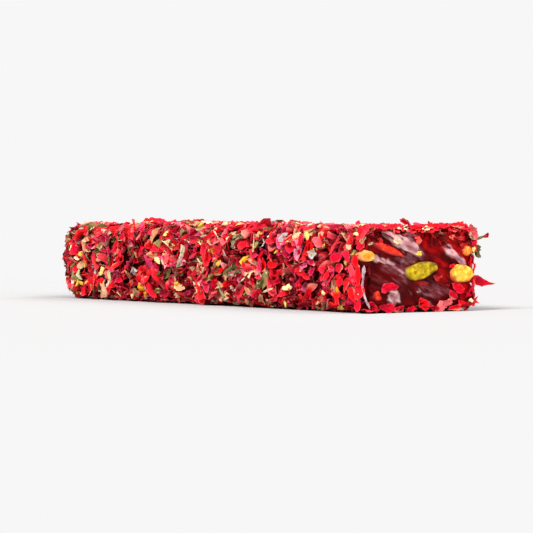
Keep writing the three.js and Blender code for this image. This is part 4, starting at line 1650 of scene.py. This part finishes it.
# Name, count, length, aspect, tilt, tip, curl, cup, shape, finish and seed.
KINDS = (
    FlakeKind("petal_bed", 2500, (3.6, 6.0), (0.55, 0.85), (0, 35), (-2.8, -1.0), (-0.2, 0.4), (-0.1, 0.3),
              FlakeShape(SMALL_SHEET), SHADED_BED_PETALS, 11),
    FlakeKind("petal_flakes", 1650, (5.0, 9.2), (0.3, 0.7), (4, 46), (-0.9, 1.0), (-0.2, 1.2), (-0.2, 0.8),
              FlakeShape(), PETALS, 12),
    FlakeKind("petal_rolls", 1700, (2.1, 4.0), (1.7, 3.1), (0, 32), (-0.8, 1.2), (0.5, 2.3), (-0.25, 0.3),
              FlakeShape(), PETALS, 20),
    FlakeKind("petals_large", 270, (6.8, 11.0), (0.42, 0.72), (4, 30), (0.0, 1.1), (0.2, 1.2), (0.1, 0.9),
              FlakeShape(WIDE_SHEET, notch=0.03, crumple=0.05), PETALS, 13, drift=0.75),
    FlakeKind("petals_pink", 560, (2.2, 4.5), (1.2, 2.4), (4, 46), (-0.3, 1.1), (0.3, 1.8), (-0.2, 0.5),
              FlakeShape(), PINK_PETALS, 18, cluster=1.0, group=67),
    FlakeKind("straw_husks", 540, (1.8, 3.4), (1.5, 3.1), (0, 36), (-0.3, 1.0), (0.3, 1.9), (-0.3, 0.4),
              FlakeShape(), HUSKS, 14, cluster=1.2),
    FlakeKind("straw_stems", 44, (5.5, 9.0), (0.08, 0.14), (0, 25), (0.2, 1.0), (-0.4, 0.4), (0.0, 0.1),
              FlakeShape(FlakeSheet(6, 3), thick_share=0.7, tear=0.1, crumple=0.2), HUSKS, 19),
    FlakeKind("leaf_bits", 430, (1.9, 3.8), (1.4, 2.8), (0, 40), (-0.3, 1.0), (0.2, 1.7), (-0.3, 0.4),
              FlakeShape(), LEAVES, 15, drift=1.3, cluster=1.2),
    FlakeKind("nut_grains", 230, (2.7, 5.4), (0.32, 0.75), (0, 50), (0.0, 1.0), (-0.2, 0.6), (-0.1, 0.3),
              FlakeShape(thick_share=0.35, crumple=0.09), GRAINS, 16, cluster=0.6),
    FlakeKind("pale_bits", 110, (2.0, 4.2), (0.9, 2.2), (0, 40), (-0.2, 1.0), (0.0, 1.4), (-0.2, 0.5),
              FlakeShape(), PALE_BITS, 17, cluster=0.8),
)

# Places in the slice: y, z, length, width, slope and tint, then proud, pitch, roll, curl, cup and back.
HANGING_PETALS = (
    SetFlake(-20.6, 27.4, 6.0, 3.0, 8, 0.45, 0.8, 0, -40),
    SetFlake(-15.9, 27.8, 5.5, 2.4, -6, 0.5, 0.6, 0, -50),
    SetFlake(-11.0, 27.9, 5.0, 2.2, 8, 0.45, 0.8, 0, -45),
    SetFlake(-4.4, 29.4, 4.8, 2.3, 152, 0.1, 0.6, 0, 0, 0.3, 0.6, 1.5),
    SetFlake(-1.2, 27.7, 5.4, 2.0, -8, 0.3, 0.6, 0, -40),
    SetFlake(3.9, 28.0, 5.4, 2.0, 4, 0.4, 0.7, 0, -50),
    SetFlake(9.1, 28.1, 8.5, 2.3, 3, 0.3, 0.9, 0, -50),
    SetFlake(15.2, 28.2, 7.5, 2.2, -4, 0.4, 1.0, 0, -50),
    SetFlake(19.9, 27.4, 5.5, 2.6, -20, 0.5, 1.0, 0, -45),
    SetFlake(22.7, 25.6, 6.6, 4.8, -40, 0.97, 1.8, 0, -25, 0.6, 0.4),
    SetFlake(23.4, 21.4, 4.6, 3.2, 100, 0.5, 1.3, 0, 25),
    SetFlake(29.6, 24.7, 2.8, 1.5, 16, 0.05, 0.3, 0, 0, 0.3, 0.5, 1.4),
    SetFlake(20.5, 26.2, 5.0, 2.6, -25, 0.45, 0.8, 0, -20),
    SetFlake(-23.1, 25.7, 4.5, 2.6, 115, 0.5, 0.8, 0, -35, 0.1, 0.1),
    SetFlake(-23.4, 22.2, 3.8, 2.2, 80, 0.7, 0.9, 0, -40, 0.1, 0.1),
    SetFlake(22.3, 16.9, 3.6, 2.2, 110, 0.5, 1.0, 0, 25),
    SetFlake(13.1, 14.9, 2.6, 1.3, 20, 0.3, 1.2),
    SetFlake(23.1, 14.3, 3.4, 2.0, 80, 0.4, 1.0, 0, 35),
    SetFlake(-13.2, 8.4, 8.0, 2.8, 1, 0.19, 1.4, 0, 6, 0.08, 0.05),
    SetFlake(16.7, 7.5, 5.8, 3.4, -50, 0.22, 1.6, 10, 10, 0.3, 0.4),
    SetFlake(13.9, 5.2, 4.2, 2.4, -30, 0.12, 1.2, 0, 10),
    SetFlake(21.0, 6.1, 5.2, 3.0, 30, 0.22, 1.7, 0, 20, 0.4, 0.3),
    SetFlake(22.7, 9.4, 4.6, 2.6, 75, 0.2, 1.4, 0, 30),
    SetFlake(22.9, 3.2, 4.4, 2.6, 50, 0.45, 1.2, 0, 30),
    SetFlake(9.9, 2.0, 7.2, 3.6, 24, 0.98, 1.9, 8, 14, 0.1, 0.1),
    SetFlake(1.6, 2.7, 5.6, 3.8, -38, 0.3, 1.9, 6, 8, 0.3, 0.3),
    SetFlake(-3.4, 1.3, 4.2, 2.2, 14, 0.2, 1.3, 0, 20),
    SetFlake(-13.7, 1.4, 7.4, 3.0, -6, 0.17, 1.8, 0, 14, 0.1, 0.1),
    SetFlake(-19.1, 2.5, 4.2, 2.2, -35, 0.08, 1.0, 0, 10),
    SetFlake(-8.6, 1.2, 4.6, 2.0, 6, 0.12, 1.1, 0, 15),
    SetFlake(5.8, 1.0, 4.4, 1.8, -12, 0.2, 1.1, 0, 25),
    SetFlake(14.3, 1.3, 5.4, 2.2, 8, 0.25, 1.5, 0, 14, 0.3, 0.4),
    SetFlake(18.6, 2.1, 4.8, 2.6, -24, 0.25, 1.4, 0, 15),
)
SUNKEN_PETALS = (
    SetFlake(9.5, 25.0, 10.5, 4.0, -8, 0.5, 0.75, 0, -6),
    SetFlake(15.8, 25.4, 8.5, 3.2, -12, 0.62, 0.75, 0, -10),
    SetFlake(18.6, 22.9, 7.5, 4.2, -42, 0.45, 0.65, 4),
    SetFlake(4.2, 23.7, 7.0, 3.4, -62, 0.34, 0.6, 0, 6),
    SetFlake(6.2, 20.0, 6.5, 4.0, -52, 0.2, 0.4, -4),
    SetFlake(-1.6, 23.8, 5.8, 3.2, -5, 0.9, 0.9, 6),
    SetFlake(13.9, 24.5, 2.8, 1.8, 0, 1.0, 0.9),
    SetFlake(11.2, 21.5, 6.0, 3.2, -50, 0.42, 0.4),
    SetFlake(-16.9, 24.0, 5.6, 3.4, -55, 0.6, 0.6, 5),
    SetFlake(-20.1, 24.8, 4.6, 3.2, -20, 0.45, 0.5),
    SetFlake(8.8, 11.8, 5.0, 3.2, 20, 0.5, 0.5),
    SetFlake(1.3, 9.5, 5.5, 1.6, -5, 0.4, 0.4),
    SetFlake(-18.6, 12.6, 3.6, 2.6, 10, 0.3, 0.4),
    SetFlake(20.9, 22.9, 4.6, 3.0, -40, 0.55, 0.6, 0, 10),
    SetFlake(13.3, 9.8, 3.4, 2.2, 50, 0.4, 0.4),
)
SLICE_LEAVES = (
    SetFlake(25.2, 23.0, 4.4, 2.8, 40, 0.75, 0.2, 0, 30, 0.6, 0.6, 1.4),
    SetFlake(26.6, 19.2, 5.6, 3.2, 118, 0.4, 0.2, 0, 20, 0.8, 0.8, 1.4),
    SetFlake(-23.1, 24.0, 3.0, 1.9, 60, 0.7, 0.9, 0, -30),
    SetFlake(26.8, 24.0, 6.4, 1.0, 14, 0.35, 0.2, 0, 0, 0.2, 0.1, 1.6),
)
SLICE_STRAW = (
    SetFlake(-19.9, 22.7, 2.6, 1.3, 0, 0.8, 0.8),
    SetFlake(2.8, 27.2, 3.8, 1.5, 4, 1.0, 0.9, 0, -40),
    SetFlake(21.1, 3.5, 2.0, 1.5, 0, 1.0, 1.5),
    SetFlake(-9.7, 23.2, 4.0, 1.8, -22, 0.75, 0.45),
)
# A painted highlight: pale strips down the slice's near edge, where the jelly's rounded rim catches the key
# light.
RIM_HIGHLIGHT_STRAND = (
    SetFlake(-22.9, 12.8, 5.4, 1.3, 79, 0.7, 1.0),
    SetFlake(-23.4, 9.6, 5.4, 0.9, 86, 0.5, 1.1),
    SetFlake(-22.9, 6.6, 4.8, 0.8, 107, 0.9, 1.1),
    SetFlake(-21.4, 3.5, 5.2, 0.9, 119, 0.6, 1.0),
)
SLICE_GRAINS = (
    SetFlake(-0.6, 19.2, 2.3, 1.9, 10, 0.3, 0.7),
    SetFlake(22.7, 20.5, 1.8, 1.4, 40, 0.6, 1.1),
)


@dataclass(frozen=True)
class StandingPetal:
    """One petal that stands out of the coat: root, tip, the way it faces, its width and tint."""

    root: tuple[float, float, float]
    tip: tuple[float, float, float]
    facing: tuple[float, float, float]
    width: float
    tint: float


@dataclass
class StandingPetals:
    """The petals that stand farthest out of the coat."""

    curl: float = 0.24
    cup: float = 0.4
    height: float = 0.6  # of their curved middle over the line from root to tip

    def build(self, name: str, petals: tuple[StandingPetal, ...], shape: FlakeShape, seed: int) -> None:
        """Builds and dresses them, each a little curled and cupped.

        Args:
            name: the piece's name.
            petals: the petals.
            shape: how they are cut.
            seed: seed of their torn rims.
        """
        columns = zip(*(vars(petal).values() for petal in petals))
        root, tip, facing, width, tint = (np.array(column) for column in columns)
        length = np.linalg.norm(root - tip, axis=1)
        along = (root - tip) / length[:, None]
        across = unit(np.cross(facing, along))
        normal = np.cross(along, across)
        middle = (root + tip) / 2
        curl, cup, height = (np.full(len(petals), value) for value in (self.curl, self.cup, self.height))
        batch = FlakeBatch(middle, normal, along, across, normal, length, width, curl, cup, tint, height)
        piece = shape.build(name, batch, np.random.default_rng(seed))
        settle(piece, PETALS.material(), COAT_SLOT, COATED_NODE)


# Root, tip, the way they face, width and tint.
SIDE_PETALS = (StandingPetal((95.5, 20.5, 10.7), (99.5, 31.0, 8.7), (0.75, -0.2, 0.6), 4.6, 0.08),)
TOP_PETALS = (
    StandingPetal((-24.5, -17.5, 26.2), (-35.5, -18.0, 30.2), (0.45, -0.5, 0.75), 6.0, 0.6),
    StandingPetal((-44.0, -18.5, 26.2), (-33.0, -18.5, 29.8), (0.2, -0.6, 0.75), 5.5, 0.45),
    StandingPetal((-18.5, -16.0, 26.4), (-29.5, -17.0, 29.2), (0.4, -0.6, 0.7), 5.5, 0.5),
)
CORNER_PETALS = (
    StandingPetal((98.0, -24.8, 15.6), (98.1, -24.8, 8.9), (0.75, -0.65, 0.1), 2.0, 0.35),
    StandingPetal((98.2, -24.6, 9.8), (98.3, -24.5, 4.4), (0.8, -0.5, 0.3), 3.2, 0.72),
    StandingPetal((98.3, -24.4, 4.9), (97.2, -24.8, 1.0), (0.7, -0.7, 0.1), 2.2, 0.5),
    StandingPetal((96.8, -25.0, 19.2), (97.3, -24.9, 14.2), (0.6, -0.8, 0.1), 2.0, 0.3),
    StandingPetal((93.4, -25.2, 12.0), (90.2, -25.0, 6.6), (0.3, -0.9, 0.3), 2.6, 0.8),
    StandingPetal((87.2, -25.0, 8.6), (90.4, -25.3, 11.6), (0.3, -0.9, 0.2), 2.9, 0.45),
    StandingPetal((89.4, -25.1, 16.2), (87.2, -25.0, 12.6), (0.5, -0.8, 0.2), 2.3, 0.66),
    StandingPetal((93.8, -25.1, 15.4), (96.6, -25.0, 10.2), (0.4, -0.85, 0.3), 2.4, 0.9),
    StandingPetal((91.2, -25.1, 20.6), (93.0, -25.0, 16.6), (0.4, -0.85, 0.2), 2.2, 0.55),
    StandingPetal((93.9, -25.1, 8.8), (96.2, -25.0, 3.6), (0.5, -0.8, 0.1), 2.7, 0.4),
    StandingPetal((96.4, -25.0, 12.4), (94.9, -25.1, 9.2), (0.6, -0.7, 0.2), 2.4, 0.6),
)

# Green-gold kernel, waxy, with its brown skin as a thin dark line round it.
PISTACHIO_GREEN = NutFinish(
    "pistachio_flesh",
    ((0.3, "#6e5604"), (0.46, "#a08204"), (0.64, "#c8aa0e")),
    skin="#6a4e0c",
)
# Paler kernel, golden and creamy, reddened where the jelly wets its skin.
PISTACHIO_PALE = NutFinish(
    "pistachio_flesh_pale",
    ((0.3, "#c88420"), (0.48, "#e4ac2c"), (0.65, "#f0c65a")),
    skin="#c46430",
)
# Kernel that the syrup has stained a bright orange right through.
PISTACHIO_ORANGE = NutFinish(
    "pistachio_flesh_stained",
    ((0.3, "#dc6a0a"), (0.48, "#e88c1e"), (0.65, "#f0b45a")),
    skin="#e09458",
)
# Moist, glossy fruit with small bright highlights.
CANDIED_FRUIT = NutFinish(
    "candied_fruit",
    ((0.3, "#a81006"), (0.5, "#cc1e0a"), (0.68, "#e64424")),
    skin="#a4140c",
    roughness=0.22,
    gloss=0.4,
)
# The same fruit, crumbly and dull where it is torn.
CANDIED_CRUMB = NutFinish(
    "candied_fruit_dark",
    ((0.3, "#a01608"), (0.5, "#c62a10"), (0.68, "#e24a26")),
    skin="#941210",
    roughness=0.55,
)
# Clear orange peel, which looks wet.
CANDIED_PEEL = NutFinish(
    "candied_peel",
    ((0.3, "#c8500e"), (0.5, "#e67b1b"), (0.68, "#ffa85c")),
    skin="#c84a1c",
    roughness=0.25,
    gloss=0.4,
)

# Name, y, z, half sizes, slope, proud, taper, finish, slot, grain and seed.
INCLUSIONS = (
    Inclusion("pistachio_middle", 1.1, 13.6, (7.2, 3.0, 4.6), 12, 0.9, 0.2,
              PISTACHIO_GREEN, "pistachio", seed=3),
    Inclusion("pistachio_right", 18.0, 12.4, (5.3, 3.2, 5.0), -4, 1.1, 0.2,
              PISTACHIO_PALE, "pistachio", seed=5),
    Inclusion("pistachio_left", -20.8, 18.6, (3.0, 1.9, 4.0), -4, 0.9, 0.2,
              PISTACHIO_ORANGE, "pistachio", seed=8),
    Inclusion("fruit_strip", -12.1, 20.4, (6.9, 1.5, 2.4), -19, 0.8, 0.25,
              CANDIED_FRUIT, "candied_fruit", 0.1, 13),
    Inclusion("fruit_chip_low", -16.5, 5.7, (2.1, 1.7, 2.2), 40, 0.5, 0.0,
              CANDIED_CRUMB, "candied_fruit", 0.1, 17),
    Inclusion("fruit_chip_right", 20.3, 19.8, (2.0, 1.7, 2.2), 25, 0.9, 0.0,
              CANDIED_PEEL, "candied_fruit", 0.1, 19),
)


def main() -> None:
    """Builds the bar piece by piece, then the studio."""
    form = BarForm()
    JellyCore(form).build()
    coat = PetalCoat(form)
    for kind in KINDS:
        coat.build(kind)
    whole = FlakeShape(
        FINE_SHEET, tear=0.3, notch=0.01, crumple=0.03, lopsided=0.0, pointed=0.6, squareness=0.7
    )
    fine = FlakeShape(FINE_SHEET, tear=0.85, notch=0.025, crumple=0.07)
    chunky = FlakeShape(FINE_SHEET, thick_share=0.5, notch=0.02, crumple=0.03)
    dragged = FlakeShape(WIDE_SHEET, tear=0.5, notch=0.03)
    standing = StandingPetals()
    standing.build("side_petal", SIDE_PETALS, whole, 23)
    standing.build("top_petals", TOP_PETALS, replace(whole, pointed=0.3), 24)
    standing.build("corner_petals", CORNER_PETALS, fine, 25)
    dressing = SliceDressing(form)
    dressing.build("hanging_petals", HANGING_PETALS, fine, PETALS, 31)
    dressing.build("sunken_petals", SUNKEN_PETALS, fine, SOAKED_PETALS, 32)
    dressing.build("slice_leaves", SLICE_LEAVES, fine, LEAVES, 33)
    dressing.build("slice_straw", SLICE_STRAW, fine, HUSKS, 34)
    # The painted highlight on the jelly's near rim.
    dressing.build("rim_highlight_strand", RIM_HIGHLIGHT_STRAND, fine, RIM_HIGHLIGHT_FILM, 38)
    dressing.build("slice_grains", SLICE_GRAINS, chunky, GRAINS, 35)
    dressing.fringe("fringe_petals", 54, dragged, PETALS, 36)
    dressing.fringe("fringe_leaves", 7, dragged, LEAVES, 37)
    for inclusion in INCLUSIONS:
        inclusion.build(form)
    Studio().build()


if __name__ == "__main__":
    main()
